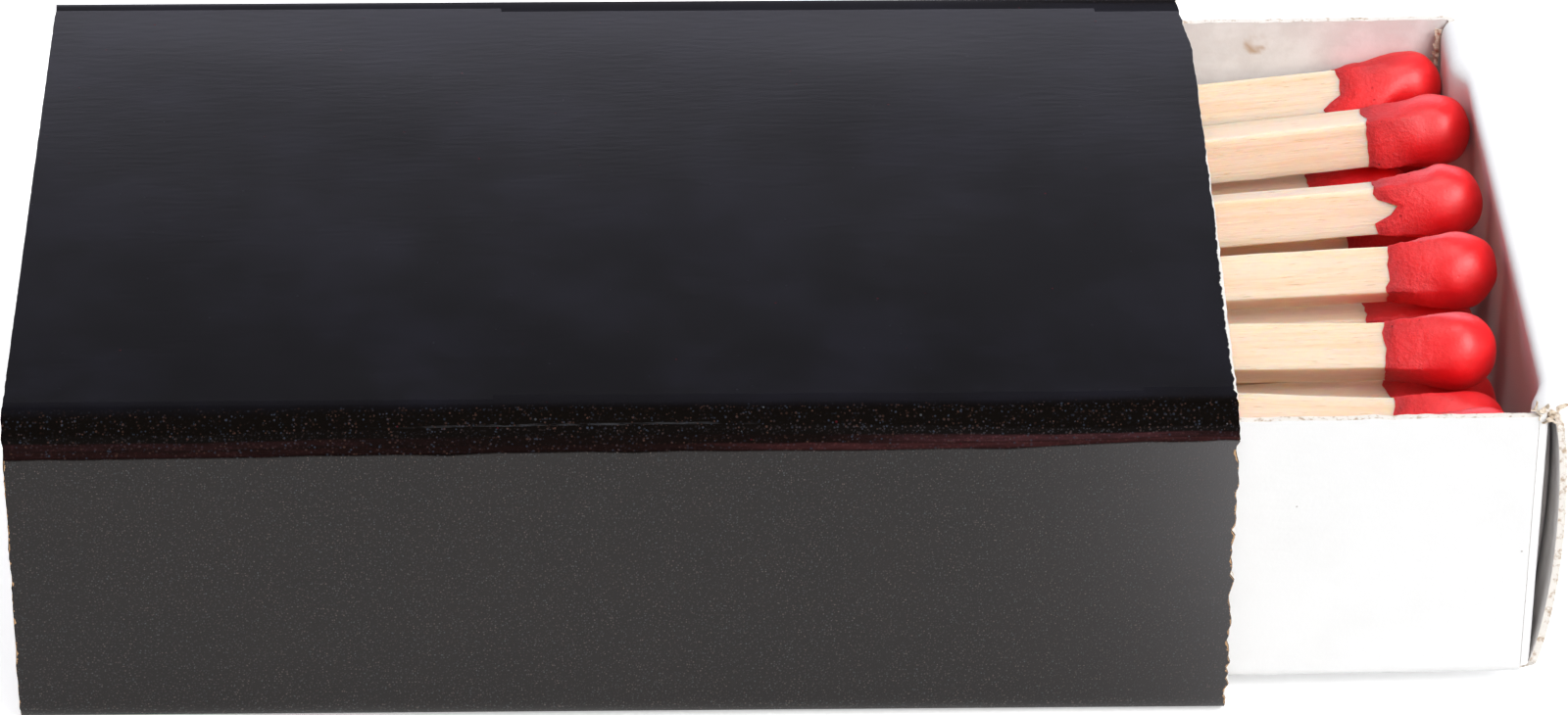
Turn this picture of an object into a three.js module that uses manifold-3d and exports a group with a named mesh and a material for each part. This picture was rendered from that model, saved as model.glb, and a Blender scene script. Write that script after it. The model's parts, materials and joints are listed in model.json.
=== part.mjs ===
// A box of safety matches, standing on its broad side with the tray partly drawn out.
// A folded card sleeve carries a striking strip on each narrow side. A folded card tray slides in it,
// and four layers of matches lie in the tray with their heads towards its outer end.
// Millimetres, +Z up, +X along the slide. The origin is the middle of the sleeve's underside.
import * as THREE from 'three';
import { mergeVertices } from 'three/addons/utils/BufferGeometryUtils.js';
import Module from 'manifold-3d';

const wasm = await Module();
wasm.setup();

// Sleeve
const sleeveLength = 53;
const sleeveWidth = 36;
const sleeveHeight = 16;
const sleeveBoard = 0.45;
const sleeveFoldRadius = 1.1;
const lapWidth = 29;
const lapRelief = 0.3;

// Striking strips, a coat on each narrow side of the sleeve
const stripThickness = 0.08;
const stripTopMargin = 0.65;

// Tray
const traySideClearance = 0.55;
const trayHeadroom = 0.75;
const trayRestGap = 0.1;
const trayShortfall = 1.4;
const traySkewGap = 0.09;
const trayBoard = 0.33;
const trayFoldRadius = 0.45;
const trayOpening = 13.9;

// End walls of the tray: an outer panel that bows outwards, folded over the rim and down inside,
// with a tab of each side wall caught between its two layers
const outerPanelBow = 0.84;
const rearPanelBow = 0.42;
const rimLean = 0.4;
const bowSharpness = 0.6;
const layerGap = 0.05;
const panelEdgeInset = 0.12;
const flapSideGap = 0.07;
const flapFloorGap = 0.3;
const tabLength = 3.6;
const tabTopDrop = 0.5;
const tabFloorGap = 0.6;
const pinchLength = 2;

// Matches
const splintSide = 2.05;
const coatSkin = 0.12;
const socketClearance = 0.02;
const headLength = 5;
const splintEmbedment = 3;
const tailRoom = 7;
const topHeadDepth = 2.6;
const layerDrop = 3.35;
const layerNesting = 0.25;
const bedGap = 0.06;
const tailGap = 0.25;
const looseHeadPitch = 3.55;
const plainCoat = 0.12;
const fan = 0.96;
const topHeadSides = 12;
const plainHeadSides = 8;

// Sizes that follow from the ones above
const sleeveInnerWidth = sleeveWidth - 2 * sleeveBoard;
const sleeveFloor = 2 * sleeveBoard;
const sleeveInnerHeight = sleeveHeight - sleeveBoard - sleeveFloor;
const trayWidth = sleeveInnerWidth - 2 * traySideClearance;
const trayHeight = sleeveInnerHeight - trayRestGap - trayHeadroom;
const trayLength = sleeveLength - trayShortfall;
const traySkew = Math.asin(2 * (traySideClearance - traySkewGap) / trayLength);
const trayInnerWidth = trayWidth - 2 * trayBoard;
const endFold = trayLength / 2;
const wallFace = endFold - 2 * trayBoard;
const splintDiagonal = splintSide * Math.SQRT2;
const splintLength = 2 * wallFace - tailRoom - (headLength - splintEmbedment);

// Materials
const colours = {
  sleeve: 0x26262b, strip: 0x3a3632, tray: 0xf1efee, splint: 0xecd3aa, head: 0xd8202a, match: 0xe6c79c,
};
const roughness = { sleeve: 0.45, strip: 0.85, tray: 0.8, splint: 0.75, head: 0.6, match: 0.75 };

function material(kind) {
  return new THREE.MeshStandardMaterial({ color: colours[kind], roughness: roughness[kind], metalness: 0 });
}

function part(name, geometry, kind) {
  const mesh = new THREE.Mesh(geometry, material(kind));
  mesh.name = name;
  return mesh;
}

// A closed geometry as a solid that can be joined and cut, and back again
function solid(geometry) {
  const bare = geometry.clone();
  bare.deleteAttribute('normal');
  bare.deleteAttribute('uv');
  const merged = mergeVertices(bare);
  return new wasm.Manifold(new wasm.Mesh({
    numProp: 3,
    vertProperties: new Float32Array(merged.attributes.position.array),
    triVerts: new Uint32Array(merged.index.array),
  }));
}

function shape(manifold) {
  const mesh = manifold.getMesh();
  const geometry = new THREE.BufferGeometry();
  geometry.setAttribute('position', new THREE.BufferAttribute(new Float32Array(mesh.vertProperties), 3));
  geometry.setIndex(new THREE.BufferAttribute(new Uint32Array(mesh.triVerts), 1));
  geometry.computeVertexNormals();
  return geometry;
}

function smooth(t) {
  const s = THREE.MathUtils.clamp(t, 0, 1);
  return s * s * (3 - 2 * s);
}

// Sleeve: one sheet wound round in section, with its ends lapped and glued under the box.
// The outer end of the sheet stops short of the far lower fold, and the inner end lies on the floor.
function sleeveGeometry() {
  const half = sleeveWidth / 2;
  const outerR = sleeveFoldRadius;
  const innerR = sleeveFoldRadius - sleeveBoard;
  const outline = new THREE.Shape();
  outline.moveTo(-half + outerR, 0);
  outline.lineTo(half - outerR - lapRelief, 0);
  outline.lineTo(half - outerR - lapRelief, sleeveBoard);
  outline.lineTo(half - outerR, sleeveBoard);
  outline.absarc(half - outerR, sleeveBoard + outerR, outerR, -Math.PI / 2, 0, false);
  outline.absarc(half - outerR, sleeveHeight - outerR, outerR, 0, Math.PI / 2, false);
  outline.absarc(-half + outerR, sleeveHeight - outerR, outerR, Math.PI / 2, Math.PI, false);
  outline.absarc(-half + outerR, outerR, outerR, Math.PI, 1.5 * Math.PI, false);

  const wall = half - sleeveBoard;
  const roof = sleeveHeight - sleeveBoard;
  const lapEnd = half - outerR - lapWidth;
  const bore = new THREE.Path();
  bore.moveTo(lapEnd, sleeveFloor);
  bore.lineTo(lapEnd, sleeveBoard);
  bore.lineTo(-wall + innerR, sleeveBoard);
  bore.absarc(-wall + innerR, sleeveBoard + innerR, innerR, 1.5 * Math.PI, Math.PI, true);
  bore.absarc(-wall + innerR, roof - innerR, innerR, Math.PI, Math.PI / 2, true);
  bore.absarc(wall - innerR, roof - innerR, innerR, Math.PI / 2, 0, true);
  bore.absarc(wall - innerR, sleeveFloor + innerR, innerR, 0, -Math.PI / 2, true);
  outline.holes.push(bore);

  const foldSegments = 5;
  const geometry = new THREE.ExtrudeGeometry(outline, {
    depth: sleeveLength, bevelEnabled: false, curveSegments: foldSegments,
  });
  geometry.applyMatrix4(alongX());
  geometry.translate(-sleeveLength / 2, 0, 0);
  return geometry;
}

// Turns a section drawn as (y, z) and extruded along its own Z into one that runs along +X
function alongX() {
  return new THREE.Matrix4().makeBasis(
    new THREE.Vector3(0, 1, 0), new THREE.Vector3(0, 0, 1), new THREE.Vector3(1, 0, 0),
  );
}

// Striking strip: it covers the flat of a narrow side from the lower fold to just under the upper one
function stripGeometry(side) {
  const low = sleeveFoldRadius + sleeveBoard;
  const high = sleeveHeight - sleeveFoldRadius - stripTopMargin;
  const geometry = new THREE.BoxGeometry(sleeveLength, stripThickness, high - low);
  geometry.translate(0, side * (sleeveWidth + stripThickness) / 2, (low + high) / 2);
  return geometry;
}

// Outline of a folded sheet in section: a middle line, offset by half the board on each side
function sheetOutline(line, board) {
  const left = [];
  const right = [];
  line.forEach((point, i) => {
    const before = line[Math.max(i - 1, 0)];
    const after = line[Math.min(i + 1, line.length - 1)];
    const along = after.clone().sub(before).normalize();
    const across = new THREE.Vector2(-along.y, along.x).multiplyScalar(board / 2);
    left.push(point.clone().add(across));
    right.push(point.clone().sub(across));
  });
  return [...right, ...left.reverse()];
}

function arc(centre, radius, from, to, steps) {
  const points = [];
  for (let i = 0; i <= steps; i += 1) {
    const angle = from + (to - from) * i / steps;
    points.push(new THREE.Vector2(centre.x + radius * Math.cos(angle), centre.y + radius * Math.sin(angle)));
  }
  return points;
}

function extrudeOutline(points, depth) {
  return new THREE.ExtrudeGeometry(new THREE.Shape(points), { depth, bevelEnabled: false });
}

// A skin over sections with equal numbers of points, closed by a cap at each end.
// place gives the position of a section's point in space.
function loft(sections, place) {
  const count = sections[0].length;
  const positions = [];
  sections.forEach((section, s) => section.forEach((point) => positions.push(...place(point, s))));
  const faces = [];
  for (let s = 0; s + 1 < sections.length; s += 1) {
    for (let i = 0; i < count; i += 1) {
      const a = s * count + i;
      const b = s * count + (i + 1) % count;
      faces.push(a, b, b + count, a, b + count, a + count);
    }
  }
  const last = (sections.length - 1) * count;
  for (const [i, j, k] of THREE.ShapeUtils.triangulateShape(sections[0], [])) {
    faces.push(i, k, j);
  }
  for (const [i, j, k] of THREE.ShapeUtils.triangulateShape(sections[sections.length - 1], [])) {
    faces.push(last + i, last + j, last + k);
  }
  const geometry = new THREE.BufferGeometry();
  geometry.setAttribute('position', new THREE.Float32BufferAttribute(positions, 3));
  geometry.setIndex(faces);
  return geometry;
}

// How far the outer face of an end panel stands out of the end fold, at a share of the tray's height
function panelStand(share, bow) {
  return bow * (4 * share * (1 - share)) ** bowSharpness + rimLean * share;
}

// Section of an end wall in (x, z): floor, lower fold, bowed outer panel, the rim's fold and the inner
// flap. pinch is 1 where a tab parts the two layers and 0 where they touch.
function endWallSection(bow, pinch) {
  const floorReach = 3;
  const panelSteps = 7;
  const rimSteps = 4;
  const lowerFold = { x: endFold - trayFoldRadius, y: trayFoldRadius };
  const floorX = endFold - floorReach;
  const panelOut = (z) => endFold + panelStand(z / trayHeight, bow);
  const panelIn = (z) => panelOut(z) - trayBoard;
  const flapOut = (z) => THREE.MathUtils.lerp(panelIn(z) - layerGap, endFold - trayBoard - layerGap, pinch);
  const flapIn = (z) => flapOut(z) - trayBoard;

  const rimRise = (panelOut(trayHeight) - flapIn(trayHeight)) / 2;
  const low = trayFoldRadius;
  const high = trayHeight - rimRise;
  const rimHalf = (panelOut(high) - flapIn(high)) / 2;
  const flapLow = trayBoard + flapFloorGap;
  const heights = [];
  for (let i = 0; i <= panelSteps; i += 1) {
    heights.push(low + (high - low) * (1 - Math.cos(Math.PI * i / panelSteps)) / 2);
  }
  const flapHeights = [flapLow, ...heights.filter((z) => z > flapLow + layerGap)];
  const rimCentre = { x: (panelOut(high) + flapIn(high)) / 2, y: 0 };
  const rim = arc(rimCentre, rimHalf, 0, Math.PI, rimSteps).slice(1, -1);
  rim.forEach((point) => point.set(point.x, high + point.y * rimRise / rimHalf));
  const crease = new THREE.Vector2((panelIn(high) + flapOut(high)) / 2, trayHeight - trayBoard);
  const face = (at, levels) => levels.map((z) => new THREE.Vector2(at(z), z));
  return [
    new THREE.Vector2(floorX, 0),
    ...arc(lowerFold, trayFoldRadius, -Math.PI / 2, -Math.PI / 6, 2),
    ...face(panelOut, heights),
    ...rim,
    ...face(flapIn, flapHeights).reverse(),
    ...face(flapOut, flapHeights),
    crease,
    ...face(panelIn, heights).reverse(),
    ...arc(lowerFold, trayFoldRadius - trayBoard, -Math.PI / 6, -Math.PI / 2, 1),
    new THREE.Vector2(floorX, trayBoard),
  ];
}

// One end wall. It is lofted across the tray's width, and its inner layer is cut back at the side walls,
// so that only the outer panel reaches past them.
function endWall(bow) {
  const panelHalf = trayWidth / 2 - panelEdgeInset;
  const flapHalf = trayInnerWidth / 2 - flapSideGap;
  const tabEnd = trayWidth / 2 - tabLength;
  const pinchSteps = 3;
  const stations = [-panelHalf];
  for (let i = 0; i <= pinchSteps; i += 1) {
    stations.push(-tabEnd + layerGap + pinchLength * i / pinchSteps);
  }
  stations.push(...stations.map((y) => -y).reverse());
  stations.reverse();
  const pinchAt = (y) => 1 - smooth((tabEnd - layerGap - Math.abs(y)) / pinchLength);
  const sections = stations.map((y) => endWallSection(bow, pinchAt(y)));
  const sheet = solid(loft(sections, (point, s) => [point.x, stations[s], point.y]));

  const cutDepth = 3;
  const cut = new THREE.BoxGeometry(cutDepth, cutDepth, trayHeight);
  cut.translate(endFold - cutDepth / 2, flapHalf + cutDepth / 2, trayFoldRadius + trayHeight / 2);
  const sideCut = solid(cut);
  return sheet.subtract(sideCut).subtract(sideCut.mirror([0, 1, 0]));
}

// A side wall's corner: it turns in at the end fold, and its tab runs between the end wall's layers.
// The tab is lower than the wall, so that the rim folds over it.
function cornerTab() {
  const half = trayBoard / 2;
  const wallReach = 2;
  const foldStart = trayWidth / 2 - trayFoldRadius;
  const fold = arc({ x: endFold - trayFoldRadius, y: foldStart }, trayFoldRadius - half, Math.PI / 2, 0, 4);
  const wallLine = [new THREE.Vector2(endFold - wallReach, trayWidth / 2 - half), ...fold];
  const corner = extrudeOutline(sheetOutline(wallLine, trayBoard), trayHeight - trayFoldRadius);
  corner.translate(0, 0, trayFoldRadius);

  const overlap = trayFoldRadius - trayBoard;
  const tabLine = [
    new THREE.Vector2(endFold - half, foldStart + overlap),
    new THREE.Vector2(endFold - half, trayWidth / 2 - tabLength),
  ];
  const tabFoot = trayBoard + tabFloorGap;
  const tab = extrudeOutline(sheetOutline(tabLine, trayBoard), trayHeight - tabTopDrop - tabFoot);
  tab.translate(0, 0, tabFoot);
  return solid(corner).add(solid(tab));
}

// Trough: the floor and the two side walls between the end folds
function trough() {
  const wallY = (trayWidth - trayBoard) / 2;
  const foldY = trayWidth / 2 - trayFoldRadius;
  const foldRadius = trayFoldRadius - trayBoard / 2;
  const line = [
    new THREE.Vector2(-wallY, trayHeight),
    ...arc({ x: -foldY, y: trayFoldRadius }, foldRadius, Math.PI, 1.5 * Math.PI, 4),
    ...arc({ x: foldY, y: trayFoldRadius }, foldRadius, -Math.PI / 2, 0, 4),
    new THREE.Vector2(wallY, trayHeight),
  ];
  const length = trayLength - 2 * trayFoldRadius;
  const geometry = extrudeOutline(sheetOutline(line, trayBoard), length);
  geometry.applyMatrix4(alongX());
  geometry.translate(-length / 2, 0, 0);
  return solid(geometry);
}

function trayGeometry() {
  const corner = cornerTab();
  const frontCorners = corner.add(corner.mirror([0, 1, 0]));
  const front = frontCorners.add(endWall(outerPanelBow));
  const rear = frontCorners.add(endWall(rearPanelBow)).mirror([1, 0, 0]);
  return shape(trough().add(front).add(rear));
}

// Match head: a coat dipped on the splint's end, square at its collar and swelling to a ball.
// The ball's centre is at the origin, and the splint runs along -X.
function headGeometry(radius, side, around, socketed) {
  const collar = -(headLength - radius);
  const skinHalf = side / 2 + coatSkin;
  const socketSide = side + 2 * socketClearance;
  const neckRings = 4;
  const capAngles = [0, 30, 57, 80];
  const cornerRounding = 0.96;
  const xs = [];
  for (let i = 0; i < neckRings; i += 1) {
    xs.push(collar * (1 - i / neckRings));
  }
  xs.push(...capAngles.map((angle) => radius * Math.sin(THREE.MathUtils.degToRad(angle))));

  const sections = xs.map((x) => {
    const along = THREE.MathUtils.clamp(1 - x / collar, 0, 1);
    const neck = THREE.MathUtils.lerp(skinHalf, radius, smooth(along));
    const round = x < 0 ? neck : Math.sqrt(radius * radius - x * x);
    const ring = [];
    for (let i = 0; i < around; i += 1) {
      const angle = 2 * Math.PI * i / around + Math.PI / 4;
      const square = 1 / Math.max(Math.abs(Math.cos(angle)), Math.abs(Math.sin(angle)));
      const collarReach = skinHalf * Math.min(square, cornerRounding * Math.SQRT2);
      const cover = x > splintEmbedment + collar ? 0 : socketSide / 2 * square + coatSkin / 2;
      const reach = Math.max(THREE.MathUtils.lerp(collarReach, round, smooth(along)), cover);
      ring.push(new THREE.Vector2(reach * Math.cos(angle), reach * Math.sin(angle)));
    }
    return ring;
  });
  const head = solid(loft(sections, (point, s) => [xs[s], point.x, point.y]));
  if (!socketed) {
    return head;
  }
  const socketLength = splintEmbedment + socketClearance;
  const mouthMargin = 1;
  const socket = new THREE.BoxGeometry(socketLength + mouthMargin, socketSide, socketSide);
  socket.translate(collar + (socketLength - mouthMargin) / 2, 0, 0);
  return head.subtract(solid(socket));
}

function splintGeometry(radius, side) {
  const end = -(headLength - radius) + splintEmbedment;
  const geometry = new THREE.BoxGeometry(splintLength, side, side);
  geometry.translate(end - splintLength / 2, 0, 0);
  return geometry;
}

// Places a match by its ball's centre, the sideways place and height of its tail, and its roll
function matchGroup({ radius, head, tailY, tailZ, roll = 0 }) {
  const group = new THREE.Group();
  const run = splintLength - splintEmbedment + headLength - radius;
  group.position.copy(head);
  group.rotation.order = 'ZYX';
  group.rotation.z = Math.atan2(head.y - tailY, run);
  group.rotation.y = -Math.atan2(head.z - tailZ, run);
  group.rotation.x = THREE.MathUtils.degToRad(roll);
  return group;
}

function looseMatch(label, number, place) {
  const group = matchGroup(place);
  const { radius, side = splintSide } = place;
  const around = label === 'top' ? topHeadSides : plainHeadSides;
  group.add(part(`${label}_splint_${number}`, splintGeometry(radius, side), 'splint'));
  group.add(part(`${label}_head_${number}`, shape(headGeometry(radius, side, around, true)), 'head'));
  return group;
}

function fusedMatch(label, number, place) {
  const group = matchGroup(place);
  const head = headGeometry(place.radius, splintSide, plainHeadSides, false);
  const whole = head.add(solid(splintGeometry(place.radius, splintSide)));
  group.add(part(`${label}_match_${number}`, shape(whole), 'match'));
  return group;
}

function ballRadius(coat, side = splintSide) {
  return side * Math.SQRT2 / 2 + coat;
}

// Heights of the heads and tails of the layers, from the floor up
const topHeadZ = trayHeight - topHeadDepth;
const secondHeadZ = topHeadZ - layerDrop;
const plainRadius = ballRadius(plainCoat);
const bottomHeadZ = trayBoard + plainRadius + bedGap;
const nestedPitch = 2 * plainRadius - layerNesting;
const lowerLayers = Math.max(1, Math.floor((secondHeadZ - bottomHeadZ) / nestedPitch));
const lowerPitch = (secondHeadZ - bottomHeadZ) / lowerLayers;
const bottomTailZ = trayBoard + splintSide / 2 + bedGap;
const secondTailZ = bottomTailZ + lowerLayers * (splintSide + tailGap);
const topTailZ = secondTailZ + (splintSide + splintDiagonal) / 2 + tailGap;

// Seats of the matches in the top two layers. Lengths are in widths of a splint: fromWall and tailFromWall
// go from the far side wall to the ball's centre and to the tail, coat is the coat over the splint's corners,
// drop lowers the ball and thick is a splint sawn thicker than the rest. reach is the share of the end
// panel's bow that the ball's front goes into, or stays short of, and roll is in degrees.
const topSeats = [
  { coat: 0.068, reach: -0.1, fromWall: 0.839, drop: -0.049, tailFromWall: 2.39, roll: -33 },
  { coat: 0.058, reach: 0.94, fromWall: 2.854, drop: -0.024, tailFromWall: 4.439, roll: -14, thick: 1.09 },
  { coat: 0.09, reach: 0.73, fromWall: 5.902, drop: 0, tailFromWall: 6.634, roll: -23, thick: 1.06 },
  { coat: 0.129, reach: 0.62, fromWall: 8.756, drop: 0, tailFromWall: 8.341, roll: 45, thick: 1.045 },
  { coat: 0.111, reach: -0.4, fromWall: 11.976, drop: 0, tailFromWall: 10.049, roll: 41, thick: 1.05 },
  { coat: 0.098, reach: -0.3, fromWall: 13.854, drop: 0.78, tailFromWall: 11.756, roll: 35 },
  { coat: 0.127, reach: -0.1, fromWall: 15.366, drop: 0.22, tailFromWall: 14.976, roll: -8 },
];
const secondSeats = [
  { coat: 0.073, reach: -0.5, fromWall: 0.839, drop: 0, tailFromWall: 0.854, roll: 3 },
  { coat: 0.073, reach: -2.1, fromWall: 2.976, drop: 0, tailFromWall: 3.561, roll: -4 },
  { coat: 0.063, reach: -0.4, fromWall: 4.732, drop: 0, tailFromWall: 5.122, roll: 2 },
  { coat: 0.063, reach: 0.35, fromWall: 6.537, drop: 0, tailFromWall: 6.732, roll: -3 },
  { coat: 0.073, reach: -0.3, fromWall: 8.463, drop: 0, tailFromWall: 8.341, roll: -5 },
  { coat: 0.063, reach: -1.75, fromWall: 10, drop: 0, tailFromWall: 9.902, roll: 4 },
  { coat: 0.073, reach: 0, fromWall: 11.6, drop: 0, tailFromWall: 11.512, roll: -4 },
  { coat: 0.063, reach: -1.4, fromWall: 15.415, drop: 0.049, tailFromWall: 15.22, roll: 2 },
];

function seatedMatches(label, seats, layerHeadZ, tailZ) {
  const farWall = trayInnerWidth / 2;
  const sideOf = (seat) => splintSide * (seat.thick ?? 1);
  const radiusOf = (seat) => ballRadius(seat.coat * splintSide, sideOf(seat));
  const fits = seats.filter((seat) => seat.fromWall * splintSide + radiusOf(seat) < trayInnerWidth);
  return fits.map((seat, i) => {
    const radius = radiusOf(seat);
    const x = wallFace + seat.reach * outerPanelBow - radius;
    const y = farWall - seat.fromWall * splintSide;
    const head = new THREE.Vector3(x, y, layerHeadZ - seat.drop * splintSide);
    const tailY = farWall - seat.tailFromWall * splintSide;
    return looseMatch(label, i + 1, { radius, head, tailY, tailZ, roll: seat.roll, side: sideOf(seat) });
  });
}

// The lower layers lie in even rows, each shifted by half a pitch from the one under it
function evenLayer(label, level, build) {
  const usable = trayInnerWidth - 2 * (plainRadius + bedGap);
  const wideCount = Math.floor(usable / looseHeadPitch) + 1;
  const pitch = usable / (wideCount - 1);
  const count = wideCount - level % 2;
  const shortOf = [0.5, 0.9];
  const matches = [];
  for (let i = 0; i < count; i += 1) {
    const y = (i - (count - 1) / 2) * -pitch;
    const x = wallFace - shortOf[i % shortOf.length] * outerPanelBow - plainRadius;
    const head = new THREE.Vector3(x, y, bottomHeadZ + level * lowerPitch);
    const tailZ = bottomTailZ + level * (splintSide + tailGap);
    matches.push(build(label, i + 1, { radius: plainRadius, head, tailY: y * fan, tailZ }));
  }
  return matches;
}

// Assembly
const matchbox = new THREE.Group();
matchbox.name = 'matchbox';
matchbox.add(part('sleeve', sleeveGeometry(), 'sleeve'));
matchbox.add(part('striking_strip_near', stripGeometry(-1), 'strip'));
matchbox.add(part('striking_strip_far', stripGeometry(1), 'strip'));

const drawer = new THREE.Group();
drawer.position.set(trayOpening, 0, sleeveFloor + trayRestGap);
drawer.rotation.z = traySkew;
drawer.add(part('tray', trayGeometry(), 'tray'));
drawer.add(...evenLayer('bottom', 0, fusedMatch));
for (let level = 1; level < lowerLayers; level += 1) {
  drawer.add(...evenLayer(level === 1 ? 'third' : `inner_${level}`, level, looseMatch));
}
drawer.add(...seatedMatches('second', secondSeats, secondHeadZ, secondTailZ));
drawer.add(...seatedMatches('top', topSeats, topHeadZ, topTailZ));
matchbox.add(drawer);

export default matchbox;
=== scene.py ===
"""A pocket matchbox with its tray drawn out: the looks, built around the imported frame.

Every length in this file is in millimetres until a mesh is made, and the row frame is the frame's own:
+X along the slide towards the drawn-out end, -Y towards the near striking side, +Z up.
"""

import json
import logging
import math
from dataclasses import dataclass, field
from enum import Enum

import bpy
import numpy as np
from mathutils import Matrix, Vector

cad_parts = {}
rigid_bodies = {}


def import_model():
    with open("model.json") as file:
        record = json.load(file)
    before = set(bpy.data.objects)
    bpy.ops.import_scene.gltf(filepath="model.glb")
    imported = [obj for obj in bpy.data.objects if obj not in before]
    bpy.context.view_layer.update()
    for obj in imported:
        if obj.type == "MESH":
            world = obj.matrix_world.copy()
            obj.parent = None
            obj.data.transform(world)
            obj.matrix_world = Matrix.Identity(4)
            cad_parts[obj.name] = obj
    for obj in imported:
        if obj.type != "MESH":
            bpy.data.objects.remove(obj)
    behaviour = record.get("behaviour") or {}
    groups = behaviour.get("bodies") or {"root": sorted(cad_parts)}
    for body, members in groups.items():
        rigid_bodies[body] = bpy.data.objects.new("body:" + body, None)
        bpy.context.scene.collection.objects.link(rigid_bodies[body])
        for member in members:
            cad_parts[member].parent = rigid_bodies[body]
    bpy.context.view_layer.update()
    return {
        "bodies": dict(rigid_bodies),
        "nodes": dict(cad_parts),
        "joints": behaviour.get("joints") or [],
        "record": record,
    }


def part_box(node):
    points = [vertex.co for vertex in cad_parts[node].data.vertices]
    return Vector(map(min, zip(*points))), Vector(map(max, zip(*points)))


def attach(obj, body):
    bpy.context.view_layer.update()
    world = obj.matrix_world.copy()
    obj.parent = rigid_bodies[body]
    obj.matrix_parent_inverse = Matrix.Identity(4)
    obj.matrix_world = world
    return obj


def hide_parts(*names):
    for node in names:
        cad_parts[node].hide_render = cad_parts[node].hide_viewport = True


MM = 0.001
LOG = logging.getLogger("matchbox")


class Side(Enum):
    """Which side of a sheet of card a face belongs to."""

    OUTSIDE = 0
    INSIDE = 1
    CUT = 2


class Layer(Enum):
    """The layers of matches, from the top down."""

    TOP = "top"
    SECOND = "second"
    THIRD = "third"
    BOTTOM = "bottom"


# Number helpers


def smooth_step(value: np.ndarray, low: float, high: float) -> np.ndarray:
    """Rises smoothly from 0 at low to 1 at high, as 3t^2 - 2t^3.

    Args:
        value: Numbers to look up.
        low: Where the rise starts.
        high: Where it ends.

    Returns:
        An array like value, from 0 to 1.
    """
    t = np.clip((value - low) / (high - low), 0.0, 1.0)
    return t * t * (3.0 - 2.0 * t)


def waves(points: np.ndarray, length: float, seed: int, terms: int = 26) -> np.ndarray:
    """Soft random relief: a sum of cosine waves with seeded directions, lengths and phases.

    Args:
        points: Places in millimetres, with x, y and z last.
        length: Typical length of a wave in millimetres.
        seed: Seed of the draw.
        terms: How many waves are summed.

    Returns:
        One number for each place, with a spread of about 1 around 0.
    """
    draw = np.random.default_rng(seed)
    heading = draw.normal(size=(terms, 3))
    heading /= np.linalg.norm(heading, axis=1, keepdims=True)
    rate = 2.0 * math.pi / length * draw.uniform(0.6, 1.5, terms)
    phase = draw.uniform(0.0, 2.0 * math.pi, terms)
    return np.cos(points @ (heading * rate[:, None]).T + phase).sum(-1) * math.sqrt(2.0 / terms)


def straight(start: tuple[float, float], end: tuple[float, float], step: float) -> np.ndarray:
    """Points on a straight stretch of a section, about step apart."""
    length = math.dist(start, end)
    share = np.linspace(0.0, 1.0, max(2, math.ceil(length / step) + 1))[:, None]
    return np.array(start) * (1.0 - share) + np.array(end) * share


def bend(centre: tuple[float, float], radius: float, start: float, end: float, steps: int) -> np.ndarray:
    """Points on an arc of a section: centre plus radius times (cos, sin) of angles in degrees."""
    angle = np.radians(np.linspace(start, end, steps + 1))
    return np.array(centre) + radius * np.stack([np.cos(angle), np.sin(angle)], axis=1)


def joined(*stretches: np.ndarray) -> np.ndarray:
    """Stretches of a line end to end, with the doubled meeting points taken out."""
    line = np.concatenate(stretches)
    step = np.linalg.norm(np.diff(line, axis=0), axis=1)
    return line[np.concatenate([[True], step > 1e-4])]


def left_of(line: np.ndarray) -> np.ndarray:
    """Unit normals on the left of a plane line's direction, for a line stored along the first axis."""
    along = np.gradient(line, axis=0)
    normal = np.stack([-along[..., 1], along[..., 0]], axis=-1)
    return normal / np.linalg.norm(normal, axis=-1, keepdims=True)


def run_length(line: np.ndarray) -> np.ndarray:
    """Length along a line from its start to each of its points."""
    step = np.linalg.norm(np.diff(line, axis=0), axis=1)
    return np.concatenate([[0.0], np.cumsum(step)])


# Meshes


@dataclass
class Shell:
    """One closed surface: points, groups of faces with their finish, and numbers stored on the points."""

    points: np.ndarray
    faces: list[np.ndarray]
    finishes: list[np.ndarray]
    marks: dict[str, np.ndarray] = field(default_factory=dict)

    def moved(self, matrix: np.ndarray) -> "Shell":
        """The same shell with its points carried by a 4 by 4 matrix."""
        points = self.points @ matrix[:3, :3].T + matrix[:3, 3]
        return Shell(points, self.faces, self.finishes, self.marks)

    @staticmethod
    def together(shells: list["Shell"]) -> "Shell":
        """Several shells as one, with their faces renumbered."""
        starts = np.cumsum([0] + [len(shell.points) for shell in shells[:-1]])
        names = {name for shell in shells for name in shell.marks}
        marks = {}
        for name in sorted(names):
            wide = next(s.marks[name].shape[1:] for s in shells if name in s.marks)
            marks[name] = np.concatenate(
                [s.marks.get(name, np.zeros((len(s.points), *wide))) for s in shells]
            )
        return Shell(
            np.concatenate([shell.points for shell in shells]),
            [faces + start for shell, start in zip(shells, starts) for faces in shell.faces],
            [finish for shell in shells for finish in shell.finishes],
            marks,
        )


def grid_faces(numbers: np.ndarray) -> np.ndarray:
    """Four-cornered faces between the rows and columns of a grid of point numbers."""
    corners = [numbers[:-1, :-1], numbers[1:, :-1], numbers[1:, 1:], numbers[:-1, 1:]]
    return np.stack(corners, axis=-1).reshape(-1, 4)


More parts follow.
